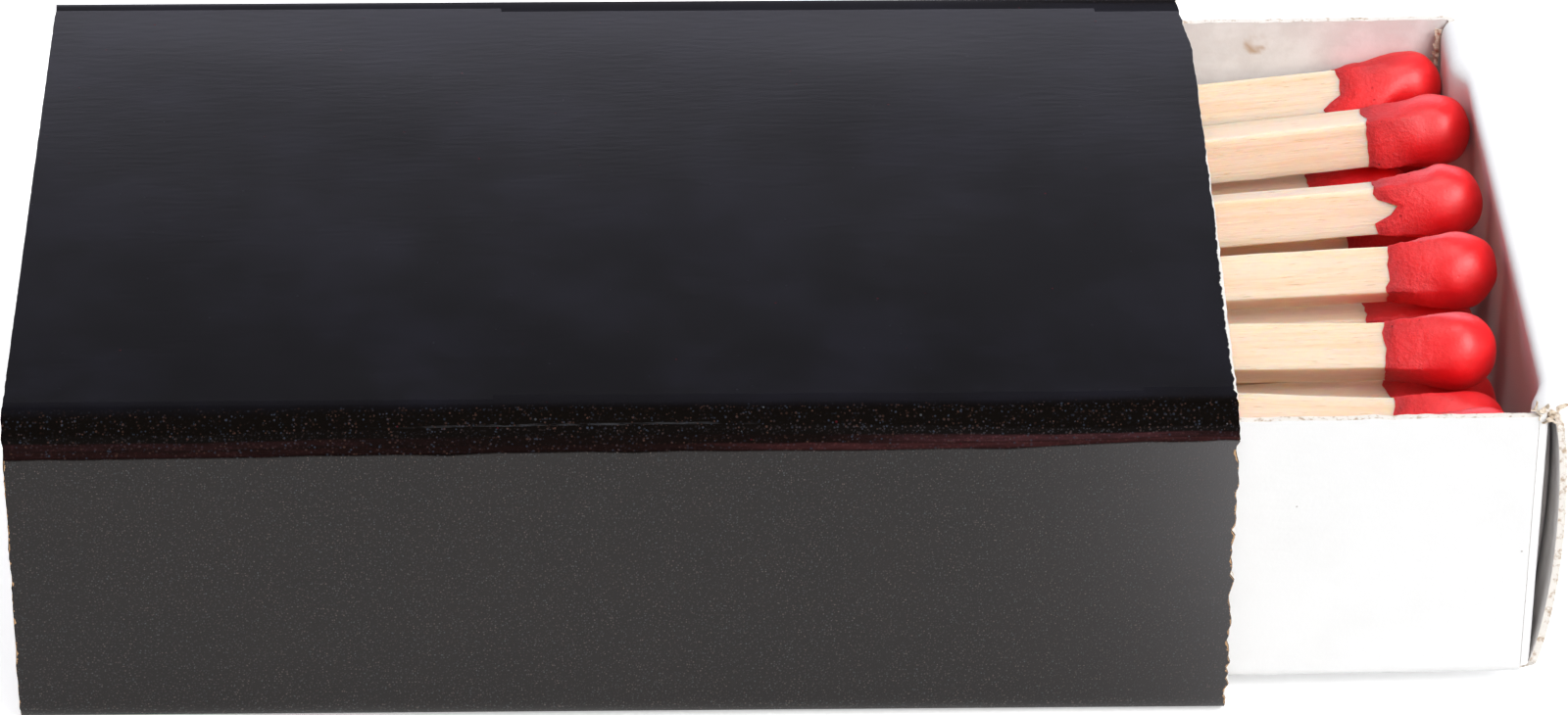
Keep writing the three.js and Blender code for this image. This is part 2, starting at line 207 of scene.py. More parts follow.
def sheet_shell(outer: np.ndarray, inner: np.ndarray, marks: dict[str, np.ndarray]) -> Shell:
    """A sheet of card: an outer and an inner surface on like grids, closed by its four cut edges.

    Args:
        outer: Grid of points of the outside, rows by columns by 3.
        inner: Grid of points of the inside, point for point behind outer.
        marks: Numbers for the grid's points, rows by columns, stored on both sides.

    Returns:
        The closed shell with its faces pointing out, in the finishes of Side.
    """
    rows, columns = outer.shape[:2]
    front = np.arange(rows * columns).reshape(rows, columns)
    back = front + rows * columns
    outside = grid_faces(front)
    inside = grid_faces(back)[:, ::-1]
    edges = np.concatenate([
        np.stack([front[0, :-1], front[0, 1:], back[0, 1:], back[0, :-1]], axis=-1),
        np.stack([front[-1, 1:], front[-1, :-1], back[-1, :-1], back[-1, 1:]], axis=-1),
        np.stack([front[1:, 0], front[:-1, 0], back[:-1, 0], back[1:, 0]], axis=-1),
        np.stack([front[:-1, -1], front[1:, -1], back[1:, -1], back[:-1, -1]], axis=-1),
    ])
    faces = [outside, inside, edges]
    across_rows = np.gradient(outer, axis=0)
    across_columns = np.gradient(outer, axis=1)
    facing = (np.cross(across_rows, across_columns) * (outer - inner)).sum()
    if facing < 0:
        faces = [group[:, ::-1] for group in faces]
    finishes = [np.full(len(group), side.value) for group, side in zip(faces, Side)]
    flat = {name: np.concatenate([values.reshape(-1), values.reshape(-1)]) for name, values in marks.items()}
    return Shell(np.concatenate([outer.reshape(-1, 3), inner.reshape(-1, 3)]), faces, finishes, flat)


def ring_shell(rings: np.ndarray, finish: int, marks: dict[str, np.ndarray]) -> Shell:
    """A skin over closed rings, gathered to a point at the middle of its first and last ring.

    Args:
        rings: Points, rings by places round the ring by 3, turning anticlockwise as seen from ahead.
        finish: Number of the material.
        marks: Numbers or vectors for the rings' points.

    Returns:
        The closed shell, facing outwards where the rings run forwards.
    """
    count, around = rings.shape[:2]
    numbers = np.arange(count * around).reshape(count, around)
    wrapped = np.concatenate([numbers, numbers[:, :1]], axis=1)
    walls = grid_faces(wrapped)[:, ::-1]
    tail = count * around
    nose = tail + 1
    following = np.roll(numbers, -1, axis=1)
    tail_fan = np.stack([np.full(around, tail), following[0], numbers[0]], axis=-1)
    nose_fan = np.stack([np.full(around, nose), numbers[-1], following[-1]], axis=-1)
    points = np.concatenate([rings.reshape(-1, 3), rings[:1].mean(1), rings[-1:].mean(1)])
    fans = np.concatenate([tail_fan, nose_fan])
    finishes = [np.full(len(walls), finish), np.full(len(fans), finish)]
    full = {}
    for name, values in marks.items():
        flat = values.reshape(count * around, *values.shape[2:])
        full[name] = np.concatenate([flat, values[:1].mean(1), values[-1:].mean(1)])
    return Shell(points, [walls, fans], finishes, full)


def make_piece(
    name: str,
    shell: Shell,
    materials: list[bpy.types.Material],
    body: str,
    replaced: list[str],
    crease: float = 35.0,
) -> bpy.types.Object:
    """Makes a shell a Blender object that rides on a body and stands for CAD nodes.

    Args:
        name: Name of the piece.
        shell: Its closed surface, in millimetres.
        materials: Materials, in the order of the shell's finish numbers.
        body: CAD body that it rides on.
        replaced: CAD nodes that it stands for.
        crease: Angle in degrees above which an edge stays sharp.

    Returns:
        The new object.
    """
    mesh = bpy.data.meshes.new(name)
    faces = [face for group in shell.faces for face in group.tolist()]
    mesh.from_pydata((shell.points * MM).tolist(), [], faces)
    for material in materials:
        mesh.materials.append(material)
    mesh.polygons.foreach_set("material_index", np.concatenate(shell.finishes).astype(np.int32))
    mesh.polygons.foreach_set("use_smooth", np.ones(len(faces), dtype=bool))
    for mark, values in shell.marks.items():
        vector = values.ndim == 2
        attribute = mesh.attributes.new(mark, "FLOAT_VECTOR" if vector else "FLOAT", "POINT")
        attribute.data.foreach_set("vector" if vector else "value", values.astype(np.float32).ravel())
    mesh.set_sharp_from_angle(angle=math.radians(crease))
    mesh.update()
    piece = bpy.data.objects.new(name, mesh)
    bpy.context.scene.collection.objects.link(piece)
    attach(piece, body)
    if replaced:
        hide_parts(*replaced)
    LOG.info("%s: %d faces, rides on %s, stands for %s", name, len(faces), body, replaced or "nothing")
    return piece


# Shader nodes

Socket = bpy.types.NodeSocket


class Graph:
    """Adds and joins nodes in one node tree."""

    def __init__(self, tree: bpy.types.NodeTree) -> None:
        """Keeps the tree that the nodes go into."""
        self.tree = tree

    def node(self, kind: str, **settings: object) -> bpy.types.Node:
        """A new node of a kind, with its properties set."""
        made = self.tree.nodes.new(kind)
        for key, value in settings.items():
            setattr(made, key, value)
        return made

    def feed(self, socket: Socket, value: object) -> None:
        """Joins a socket to another one, or gives it a plain value."""
        if isinstance(value, Socket):
            self.tree.links.new(value, socket)
        else:
            socket.default_value = value

    def math(self, operation: str, *values: object, clamp: bool = False) -> Socket:
        """Result of a Math node on the values."""
        made = self.node("ShaderNodeMath", operation=operation, use_clamp=clamp)
        for socket, value in zip(made.inputs, values):
            self.feed(socket, value)
        return made.outputs[0]

    def step(self, value: Socket, low: float, high: float) -> Socket:
        """Rises smoothly from 0 at low to 1 at high."""
        made = self.node("ShaderNodeMapRange", interpolation_type="SMOOTHSTEP")
        self.feed(made.inputs["Value"], value)
        self.feed(made.inputs["From Min"], low)
        self.feed(made.inputs["From Max"], high)
        return made.outputs["Result"]

    def row(self, value: Socket, middle: float, half: float) -> Socket:
        """1 in a soft-edged row of a value, half wide on either side of its middle."""
        away = self.math("ABSOLUTE", self.math("SUBTRACT", value, middle))
        return self.math("SUBTRACT", 1.0, self.step(away, 0.6 * half, 1.4 * half))

    def blend(self, share: object, first: object, second: object) -> Socket:
        """Colour that goes from first to second with share."""
        made = self.node("ShaderNodeMix", data_type="RGBA")
        self.feed(made.inputs[0], share)
        self.feed(made.inputs[6], first)
        self.feed(made.inputs[7], second)
        return made.outputs[2]

    def between(self, share: object, first: object, second: object) -> Socket:
        """Number that goes from first to second with share."""
        made = self.node("ShaderNodeMix", data_type="FLOAT")
        self.feed(made.inputs[0], share)
        self.feed(made.inputs[2], first)
        self.feed(made.inputs[3], second)
        return made.outputs[0]

    def noise(self, place: Socket, scale: object, detail: float = 3.0, rough: float = 0.5) -> Socket:
        """Height of a Noise Texture."""
        made = self.node("ShaderNodeTexNoise")
        self.feed(made.inputs["Vector"], place)
        self.feed(made.inputs["Scale"], scale)
        self.feed(made.inputs["Detail"], detail)
        self.feed(made.inputs["Roughness"], rough)
        return made.outputs["Fac"]

    def stretched(self, place: Socket, scale: tuple[float, float, float], turn: float = 0.0) -> Socket:
        """A vector turned about Z by degrees and scaled along each axis."""
        made = self.node("ShaderNodeMapping")
        self.feed(made.inputs["Vector"], place)
        self.feed(made.inputs["Rotation"], (0.0, 0.0, math.radians(turn)))
        self.feed(made.inputs["Scale"], scale)
        return made.outputs["Vector"]

    def position(self) -> Socket:
        """Object coordinates."""
        return self.node("ShaderNodeTexCoord").outputs["Object"]

    def stored(self, name: str, vector: bool = False) -> Socket:
        """A number or vector stored on the piece's points."""
        made = self.node("ShaderNodeAttribute", attribute_name=name)
        return made.outputs["Vector" if vector else "Fac"]

    def bump(self, height: Socket, depth: float, normal: Socket | None = None) -> Socket:
        """Normal bent by a height, whose full range is depth millimetres deep."""
        made = self.node("ShaderNodeBump")
        self.feed(made.inputs["Strength"], 1.0)
        self.feed(made.inputs["Distance"], depth * MM)
        self.feed(made.inputs["Height"], height)
        if normal is not None:
            self.feed(made.inputs["Normal"], normal)
        return made.outputs["Normal"]

    def placed(self, group: bpy.types.NodeTree, **values: object) -> bpy.types.Node:
        """A node group with its inputs filled in by name, with _ for a space."""
        made = self.node("ShaderNodeGroup", node_tree=group)
        for key, value in values.items():
            self.feed(made.inputs[key.replace("_", " ")], value)
        return made


FLOAT = "NodeSocketFloat"
VECTOR = "NodeSocketVector"


class Effect:
    """A shader node group that is built once and shared by the finishes."""

    name: str = ""
    inputs: dict[str, str] = {}
    outputs: dict[str, str] = {}
    made: dict[str, bpy.types.NodeTree] = {}

    @classmethod
    def group(cls) -> bpy.types.NodeTree:
        """The group, built when it is first asked for."""
        if cls.name not in Effect.made:
            tree = bpy.data.node_groups.new(cls.name, "ShaderNodeTree")
            for name, kind in cls.inputs.items():
                tree.interface.new_socket(name=name, in_out="INPUT", socket_type=kind)
            for name, kind in cls.outputs.items():
                tree.interface.new_socket(name=name, in_out="OUTPUT", socket_type=kind)
            graph = Graph(tree)
            entry = graph.node("NodeGroupInput").outputs
            results = cls.build(graph, entry)
            exit_node = graph.node("NodeGroupOutput")
            for name, socket in results.items():
                graph.feed(exit_node.inputs[name], socket)
            Effect.made[cls.name] = tree
        return Effect.made[cls.name]

    @classmethod
    def build(cls, graph: Graph, entry: bpy.types.NodeOutputs) -> dict[str, Socket]:
        """Joins the group's nodes and returns its outputs by name."""
        raise NotImplementedError


class Specks(Effect):
    """Scattered round specks: cells of a jittered grid, some of which hold a dot."""

    name = "scattered_specks"
    inputs = {"Place": VECTOR, "Spacing": FLOAT, "Size": FLOAT, "Share": FLOAT}
    outputs = {"Mask": FLOAT, "Tone": FLOAT}

    @classmethod
    def build(cls, graph: Graph, entry: bpy.types.NodeOutputs) -> dict[str, Socket]:
        """A dot where the cell's random number is under Share, its radius Size times the cell."""
        cells = graph.node("ShaderNodeTexVoronoi")
        graph.feed(cells.inputs["Vector"], entry["Place"])
        graph.feed(cells.inputs["Scale"], graph.math("DIVIDE", 1.0 / MM, entry["Spacing"]))
        draw = graph.node("ShaderNodeSeparateColor")
        graph.feed(draw.inputs[0], cells.outputs["Color"])
        chosen = graph.math("LESS_THAN", draw.outputs[0], entry["Share"])
        size = graph.math("MULTIPLY", entry["Size"], graph.math("ADD", draw.outputs[1], 0.5))
        near = graph.math("DIVIDE", cells.outputs["Distance"], size)
        dot = graph.math("SUBTRACT", 1.0, graph.step(near, 0.55, 1.0))
        return {"Mask": graph.math("MULTIPLY", dot, chosen), "Tone": draw.outputs[2]}


class PaperGrain(Effect):
    """Paper: cloudy tone, and short fibres lying in three directions with a fine tooth."""

    name = "paper_grain"
    inputs = {"Place": VECTOR, "Cloud Size": FLOAT, "Fibre Size": FLOAT}
    outputs = {"Cloud": FLOAT, "Height": FLOAT}

    @classmethod
    def build(cls, graph: Graph, entry: bpy.types.NodeOutputs) -> dict[str, Socket]:
        """Cloud is broad noise; Height is stretched noise in three directions, averaged with fine noise."""
        cloud_scale = graph.math("DIVIDE", 1.0 / MM, entry["Cloud Size"])
        cloud = graph.noise(entry["Place"], cloud_scale, 4.0, 0.6)
        fibre_scale = graph.math("DIVIDE", 1.0 / MM, entry["Fibre Size"])
        height = graph.noise(entry["Place"], graph.math("MULTIPLY", fibre_scale, 1.7), 2.0, 0.7)
        for turn in (12.0, 75.0, 137.0):
            lying = graph.stretched(entry["Place"], (0.22, 1.0, 1.0), turn)
            height = graph.math("ADD", height, graph.noise(lying, fibre_scale, 1.0, 0.5))
        return {"Cloud": cloud, "Height": graph.math("DIVIDE", height, 4.0)}


class EdgeWear(Effect):
    """Worn cut edge: a mask near the edge whose width wanders."""

    name = "worn_edge"
    inputs = {"Place": VECTOR, "Distance": FLOAT, "Width": FLOAT, "Wander": FLOAT, "Steady": FLOAT}
    outputs = {"Mask": FLOAT}

    @classmethod
    def build(cls, graph: Graph, entry: bpy.types.NodeOutputs) -> dict[str, Socket]:
        """1 nearer the edge than Width times noise of the size Wander, of which Steady is always there."""
        scale = graph.math("DIVIDE", 1.0 / MM, entry["Wander"])
        ragged = graph.step(graph.noise(entry["Place"], scale, 4.0, 0.65), 0.42, 0.72)
        reach = graph.math("MULTIPLY", graph.between(entry["Steady"], ragged, 1.0), entry["Width"])
        inside = graph.math("DIVIDE", entry["Distance"], graph.math("ADD", reach, 0.0001))
        return {"Mask": graph.math("SUBTRACT", 1.0, graph.step(inside, 0.75, 1.1))}


# Finishes

Colour = tuple[float, float, float, float]


def tint(red: float, green: float, blue: float) -> Colour:
    """An opaque linear colour."""
    return (red, green, blue, 1.0)


@dataclass(frozen=True)
class Finish:
    """A finish: the plain numbers of its shader, and a method that joins its nodes."""

    name: str = ""
    roughness: float = 0.6
    specular: float = 0.5

    def material(self) -> bpy.types.Material:
        """The material, made when it is first asked for; its name is its own, apart from the frame's."""
        name = f"{self.name}_finish"
        known = bpy.data.materials.get(name)
        if known is not None:
            return known
        made = bpy.data.materials.new(name)
        made.use_nodes = True
        graph = Graph(made.node_tree)
        shader = made.node_tree.nodes["Principled BSDF"]
        shader.inputs["Roughness"].default_value = self.roughness
        shader.inputs["Specular IOR Level"].default_value = self.specular
        self.dress(graph, shader)
        return made

    def dress(self, graph: Graph, shader: bpy.types.Node) -> None:
        """Joins the finish's nodes to the shader."""
        raise NotImplementedError

    @staticmethod
    def let_light_in(
        shader: bpy.types.Node, share: float, depth: float, colours: tuple[float, float, float]
    ) -> None:
        """Lets a share of the light scatter under the surface, depth millimetres far, by colour."""
        shader.inputs["Subsurface Weight"].default_value = share
        shader.inputs["Subsurface Scale"].default_value = depth * MM
        shader.inputs["Subsurface Radius"].default_value = colours


@dataclass(frozen=True)
class PrintedCard(Finish):
    """Blue-black print on card, with dust specks, folds darkened by painted shade and white chips at the mouth.
    """

    name: str = "printed_card"
    roughness: float = 0.24
    specular: float = 0.12
    ink: Colour = tint(0.004, 0.0036, 0.0048)
    pale_ink: Colour = tint(0.0066, 0.0062, 0.0098)
    # Darker ink of the painted shade on the fold band.
    fold_shade_ink: Colour = tint(0.003, 0.002, 0.0016)
    fold_rough: float = 0.7
    low_row: Colour = tint(0.064, 0.02, 0.021)
    high_row: Colour = tint(0.078, 0.027, 0.031)
    upper_row: Colour = tint(0.032, 0.028, 0.031)
    pale_line: Colour = tint(0.03, 0.03, 0.033)
    warm_dot: Colour = tint(0.05, 0.026, 0.02)
    cool_dot: Colour = tint(0.026, 0.032, 0.046)
    dust: Colour = tint(0.075, 0.08, 0.09)
    red_speck: Colour = tint(0.045, 0.006, 0.009)
    screen_pitch: float = 0.12
    chip: Colour = tint(0.8, 0.78, 0.74)

    def dress(self, graph: Graph, shader: bpy.types.Node) -> None:
        """Clouded ink, then folds, specks and chips over it; a fine paper tooth bends the normal."""
        place = graph.position()
        paper = graph.placed(PaperGrain.group(), Place=place, Cloud_Size=7.0, Fibre_Size=0.28)
        colour = graph.blend(graph.step(paper.outputs["Cloud"], 0.4, 0.68), self.ink, self.pale_ink)
        fold = graph.stored("fold")
        # Painted shade: the ink turns darker and warmer over the fold band.
        colour = graph.blend(fold, colour, self.fold_shade_ink)
        over = graph.stored("over_coat")
        streaks = graph.noise(graph.stretched(place, (0.12, 1.0, 1.0)), 4200.0, 3.0, 0.7)
        broken = graph.between(graph.step(streaks, 0.36, 0.6), 0.55, 1.0)
        wander = graph.noise(graph.stretched(place, (0.05, 0.0, 0.0)), 2600.0, 2.0, 0.5)
        over = graph.math("ADD", over, graph.math("MULTIPLY", graph.math("SUBTRACT", wander, 0.5), 0.3))
        dots = graph.placed(Specks.group(), Place=place, Spacing=self.screen_pitch, Size=0.42, Share=1.0)
        for middle, half, mark, ink, gap in (
            (0.96, 0.16, "upper_print", self.upper_row, 0.1),
            (0.6, 0.19, "high_print", self.high_row, 0.55),
            (0.17, 0.2, "low_print", self.low_row, 0.6),
        ):
            shown = graph.math("MULTIPLY", graph.row(over, middle, half), graph.stored(mark))
            shown = graph.math("MULTIPLY", shown, graph.between(dots.outputs["Mask"], gap, 1.0))
            colour = graph.blend(graph.math("MULTIPLY", shown, broken), colour, ink)
        line = graph.math("MULTIPLY", graph.row(over, 1.2, 0.035), graph.stored("middle_line"))
        colour = graph.blend(graph.math("MULTIPLY", line, graph.step(streaks, 0.4, 0.6)), colour, self.pale_line)
        tone = graph.math("POWER", dots.outputs["Tone"], 2.2)
        dotted = graph.math("MULTIPLY", graph.math("MULTIPLY", dots.outputs["Mask"], tone), fold)
        hue = graph.step(graph.noise(place, 4000.0, 1.0, 0.5), 0.42, 0.58)
        colour = graph.blend(dotted, colour, graph.blend(hue, self.warm_dot, self.cool_dot))
        dust = graph.placed(Specks.group(), Place=place, Spacing=0.55, Size=0.09, Share=0.35)
        shown = graph.math("MULTIPLY", dust.outputs["Mask"], dust.outputs["Tone"])
        colour = graph.blend(shown, colour, self.dust)
        reds = graph.placed(Specks.group(), Place=place, Spacing=1.1, Size=0.05, Share=0.35)
        colour = graph.blend(reds.outputs["Mask"], colour, self.red_speck)
        chips = graph.placed(
            EdgeWear.group(), Place=place, Distance=graph.stored("from_mouth"),
            Width=graph.stored("chip"), Wander=0.8, Steady=0.45,
        )
        colour = graph.blend(chips.outputs["Mask"], colour, self.chip)
        graph.feed(shader.inputs["Base Color"], colour)
        rough = graph.between(paper.outputs["Cloud"], self.roughness - 0.03, self.roughness + 0.03)
        rough = graph.between(graph.step(fold, 0.1, 0.9), rough, self.fold_rough)
        graph.feed(shader.inputs["Roughness"], graph.between(chips.outputs["Mask"], rough, 0.85))
        graph.feed(shader.inputs["Normal"], graph.bump(paper.outputs["Height"], 0.006))


@dataclass(frozen=True)
class FoldedPrint(PrintedCard):
    """The same print where the card is folded: worn dull, with misprinted rows above the coat."""

    name: str = "folded_print"
    roughness: float = 0.5
    specular: float = 0.02


@dataclass(frozen=True)
class StrikingCoat(Finish):
    """Grey-brown striking coat, printed as a fine screen of raised dots."""

    name: str = "striking_coat"
    roughness: float = 0.6
    specular: float = 0.35
    ground: Colour = tint(0.0095, 0.0074, 0.007)
    pale_ground: Colour = tint(0.013, 0.0104, 0.0098)
    warm_dot: Colour = tint(0.105, 0.08, 0.074)
    cool_dot: Colour = tint(0.07, 0.078, 0.084)
    # Colour of the painted sheen towards the mouth.
    sheen_tint: Colour = tint(0.072, 0.068, 0.07)
    fringe: Colour = tint(0.5, 0.3, 0.15)
    dot_pitch: float = 0.12
    fringe_width: float = 0.11

    def dress(self, graph: Graph, shader: bpy.types.Node) -> None:
        """Clouded ground with light dots and a torn fringe, and a painted sheen that pales the coat towards the
        mouth and its top edge.
        """
        place = graph.position()
        paper = graph.placed(PaperGrain.group(), Place=place, Cloud_Size=4.0, Fibre_Size=0.5)
        cloud = paper.outputs["Cloud"]
        colour = graph.blend(graph.step(cloud, 0.38, 0.66), self.ground, self.pale_ground)
        # Painted sheen: the coat is paled towards the mouth and up to its top edge, standing in for a lamp's
        # grazing reflection.
        colour = graph.blend(graph.stored("rubbed"), colour, self.sheen_tint)
        dots = graph.placed(Specks.group(), Place=place, Spacing=self.dot_pitch, Size=0.4, Share=1.0)
        lit = graph.math("MULTIPLY", graph.math("POWER", dots.outputs["Tone"], 3.0), 0.85)
        tone = graph.math("ADD", 0.16, lit)
        hue = graph.step(graph.noise(place, 4000.0, 1.0, 0.5), 0.42, 0.6)
        lit_dot = graph.blend(hue, self.warm_dot, self.cool_dot)
        colour = graph.blend(graph.math("MULTIPLY", dots.outputs["Mask"], tone), colour, lit_dot)
        torn = graph.placed(
            EdgeWear.group(), Place=place, Distance=graph.stored("from_mouth"),
            Width=self.fringe_width, Wander=0.35, Steady=0.0,
        )
        colour = graph.blend(torn.outputs["Mask"], colour, self.fringe)
        graph.feed(shader.inputs["Base Color"], colour)
        height = graph.math("ADD", paper.outputs["Height"], graph.math("MULTIPLY", dots.outputs["Mask"], 0.6))
        graph.feed(shader.inputs["Normal"], graph.bump(height, 0.02))
        rough = graph.between(cloud, self.roughness - 0.08, self.roughness + 0.12)
        graph.feed(shader.inputs["Roughness"], rough)


@dataclass(frozen=True)
class WhiteCard(Finish):
    """White coated side of the tray's card, with tiny grey flecks."""

    name: str = "white_card"
    roughness: float = 0.55
    specular: float = 0.35
    white: Colour = tint(0.805, 0.802, 0.8)
    shade: Colour = tint(0.79, 0.786, 0.782)
    fleck: Colour = tint(0.45, 0.42, 0.4)

    def dress(self, graph: Graph, shader: bpy.types.Node) -> None:
        """Clouded white with flecks, and a fine tooth."""
        place = graph.position()
        paper = graph.placed(PaperGrain.group(), Place=place, Cloud_Size=3.0, Fibre_Size=0.3)
        colour = graph.blend(graph.step(paper.outputs["Cloud"], 0.45, 0.75), self.white, self.shade)
        flecks = graph.placed(Specks.group(), Place=place, Spacing=1.7, Size=0.05, Share=0.4)
        colour = graph.blend(flecks.outputs["Mask"], colour, self.fleck)
        graph.feed(shader.inputs["Base Color"], colour)
        graph.feed(shader.inputs["Normal"], graph.bump(paper.outputs["Height"], 0.02))


@dataclass(frozen=True)
class GreyBoard(Finish):
    """Uncoated back of the card: grey-pink recycled board with pale and brown fibres."""

    name: str = "grey_board"
    roughness: float = 0.85
    specular: float = 0.2
    grey: Colour = tint(0.75, 0.72, 0.705)
    pale: Colour = tint(0.82, 0.8, 0.79)
    brown: Colour = tint(0.42, 0.25, 0.14)
    stain: Colour = tint(0.52, 0.36, 0.24)

    def dress(self, graph: Graph, shader: bpy.types.Node) -> None:
        """Two tones of board mixed by fibres, with a few brown fibre spots."""
        place = graph.position()
        paper = graph.placed(PaperGrain.group(), Place=place, Cloud_Size=1.6, Fibre_Size=0.35)
        colour = graph.blend(graph.step(paper.outputs["Cloud"], 0.38, 0.66), self.grey, self.pale)
        spots = graph.placed(Specks.group(), Place=place, Spacing=1.9, Size=0.07, Share=0.35)
        colour = graph.blend(graph.math("MULTIPLY", spots.outputs["Mask"], 0.7), colour, self.brown)
        colour = graph.blend(graph.stored("stain"), colour, self.stain)
        graph.feed(shader.inputs["Base Color"], colour)
        graph.feed(shader.inputs["Normal"], graph.bump(paper.outputs["Height"], 0.03))


@dataclass(frozen=True)
class RawEdge(Finish):
    """Cut edge of the board: layered, fuzzy and brown."""

    name: str = "raw_edge"
    roughness: float = 0.9
    specular: float = 0.15
    brown: Colour = tint(0.5, 0.38, 0.28)
    pale: Colour = tint(0.8, 0.76, 0.71)

    def dress(self, graph: Graph, shader: bpy.types.Node) -> None:
        """Brown and pale fibres in streaks along the edge."""
        place = graph.position()
        paper = graph.placed(PaperGrain.group(), Place=place, Cloud_Size=0.3, Fibre_Size=0.12)
        colour = graph.blend(graph.step(paper.outputs["Cloud"], 0.3, 0.5), self.brown, self.pale)
        graph.feed(shader.inputs["Base Color"], colour)
        graph.feed(shader.inputs["Normal"], graph.bump(paper.outputs["Height"], 0.08))


@dataclass(frozen=True)
class TornFibre(RawEdge):
    """Torn board: beige fibres with brown between them."""

    name: str = "torn_fibre"
    brown: Colour = tint(0.4, 0.27, 0.18)
    pale: Colour = tint(0.72, 0.62, 0.5)


@dataclass(frozen=True)
class SplintWood(Finish):
    """Sawn poplar: pale, with fine streaks, short dark vessels and a few broad bands."""

    name: str = "splint_wood"
    roughness: float = 0.72
    specular: float = 0.25
    pale: Colour = tint(0.87, 0.695, 0.55)
    warm: Colour = tint(0.84, 0.62, 0.44)
    vessel: Colour = tint(0.6, 0.4, 0.23)
    glow_share: float = 0.8
    glow_depth: float = 1.3
    glow_colours: tuple[float, float, float] = (1.0, 0.6, 0.3)

    def dress(self, graph: Graph, shader: bpy.types.Node) -> None:
        """Noise in the splint's own lengthwise coordinates, stretched along the grain."""
        self.let_light_in(shader, self.glow_share, self.glow_depth, self.glow_colours)
        grain = graph.stored("grain", vector=True)
        bands = graph.noise(graph.stretched(grain, (0.05, 1.0, 1.0)), 1.1, 2.0, 0.5)
        streaks = graph.noise(graph.stretched(grain, (0.05, 1.0, 1.0)), 7.0, 3.0, 0.6)
        vessels = graph.noise(graph.stretched(grain, (0.09, 1.0, 1.0)), 16.0, 1.0, 0.5)
        tone = graph.math("ADD", graph.math("MULTIPLY", bands, 0.6), graph.math("MULTIPLY", streaks, 0.4))
        colour = graph.blend(graph.step(tone, 0.42, 0.64), self.pale, self.warm)
        dark = graph.math("MULTIPLY", graph.step(vessels, 0.62, 0.8), 0.5)
        colour = graph.blend(dark, colour, self.vessel)
        graph.feed(shader.inputs["Base Color"], colour)
        height = graph.math("SUBTRACT", streaks, graph.math("MULTIPLY", dark, 0.8))
        graph.feed(shader.inputs["Normal"], graph.bump(height, 0.05))


@dataclass(frozen=True)
class HeadCoat(Finish):
    """Red dipped coat: smooth on the ball, rough and pinholed towards the collar."""

    name: str = "head_coat"
    roughness: float = 0.52
    specular: float = 0.8
    red: Colour = tint(0.9, 0.006, 0.012)
    deep: Colour = tint(0.84, 0.002, 0.005)
    pale: Colour = tint(0.93, 0.04, 0.045)
    # Dark red of the painted shade in the pinholes.
    pit_shade: Colour = tint(0.4, 0.0, 0.002)
    glow_share: float = 0.6
    glow_depth: float = 1.1
    glow_colours: tuple[float, float, float] = (1.0, 0.1, 0.08)

    def dress(self, graph: Graph, shader: bpy.types.Node) -> None:
        """Mottled red with pits whose number grows towards the collar, with painted shade darkening the pits."""
        self.let_light_in(shader, self.glow_share, self.glow_depth, self.glow_colours)
        place = graph.position()
        neck = graph.stored("neck")
        mottle = graph.noise(place, 1900.0, 4.0, 0.6)
        fine = graph.noise(place, 5200.0, 3.0, 0.65)
        colour = graph.blend(graph.step(mottle, 0.35, 0.7), self.red, self.deep)
        bloom = graph.math("MULTIPLY", graph.step(fine, 0.5, 0.68), graph.between(neck, 0.15, 0.4))
        colour = graph.blend(bloom, colour, self.pale)
        pits = graph.placed(Specks.group(), Place=place, Spacing=0.4, Size=0.14, Share=0.4)
        depth = graph.math("MULTIPLY", pits.outputs["Mask"], graph.between(neck, 0.06, 0.75))
        # Painted shade: the pinholes are coloured dark red.
        colour = graph.blend(depth, colour, self.pit_shade)
        graph.feed(shader.inputs["Base Color"], colour)
        rough_height = graph.math("MULTIPLY", fine, graph.between(neck, 0.15, 1.0))
        height = graph.math("SUBTRACT", rough_height, depth)
        graph.feed(shader.inputs["Normal"], graph.bump(height, 0.1))
        rough = graph.between(neck, self.roughness - 0.05, self.roughness + 0.25)
        graph.feed(shader.inputs["Roughness"], rough)


@dataclass(frozen=True)
class PaleFloor(Finish):
    """Plain white studio floor, lifted a little for the rays that show it."""

    name: str = "pale_floor"
    roughness: float = 0.9
    specular: float = 0.1
    white: Colour = tint(0.9, 0.9, 0.9)
    lift: float = 0.42

    def dress(self, graph: Graph, shader: bpy.types.Node) -> None:
        """A faint glow that only camera, glossy and transmission rays see."""
        graph.feed(shader.inputs["Base Color"], self.white)
        rays = graph.node("ShaderNodeLightPath").outputs
        seen = graph.math("MAXIMUM", rays["Is Camera Ray"], rays["Is Glossy Ray"])
        seen = graph.math("MAXIMUM", seen, rays["Is Transmission Ray"])
        graph.feed(shader.inputs["Emission Color"], tint(1.0, 1.0, 1.0))
        graph.feed(shader.inputs["Emission Strength"], graph.math("MULTIPLY", seen, self.lift))


# The sleeve


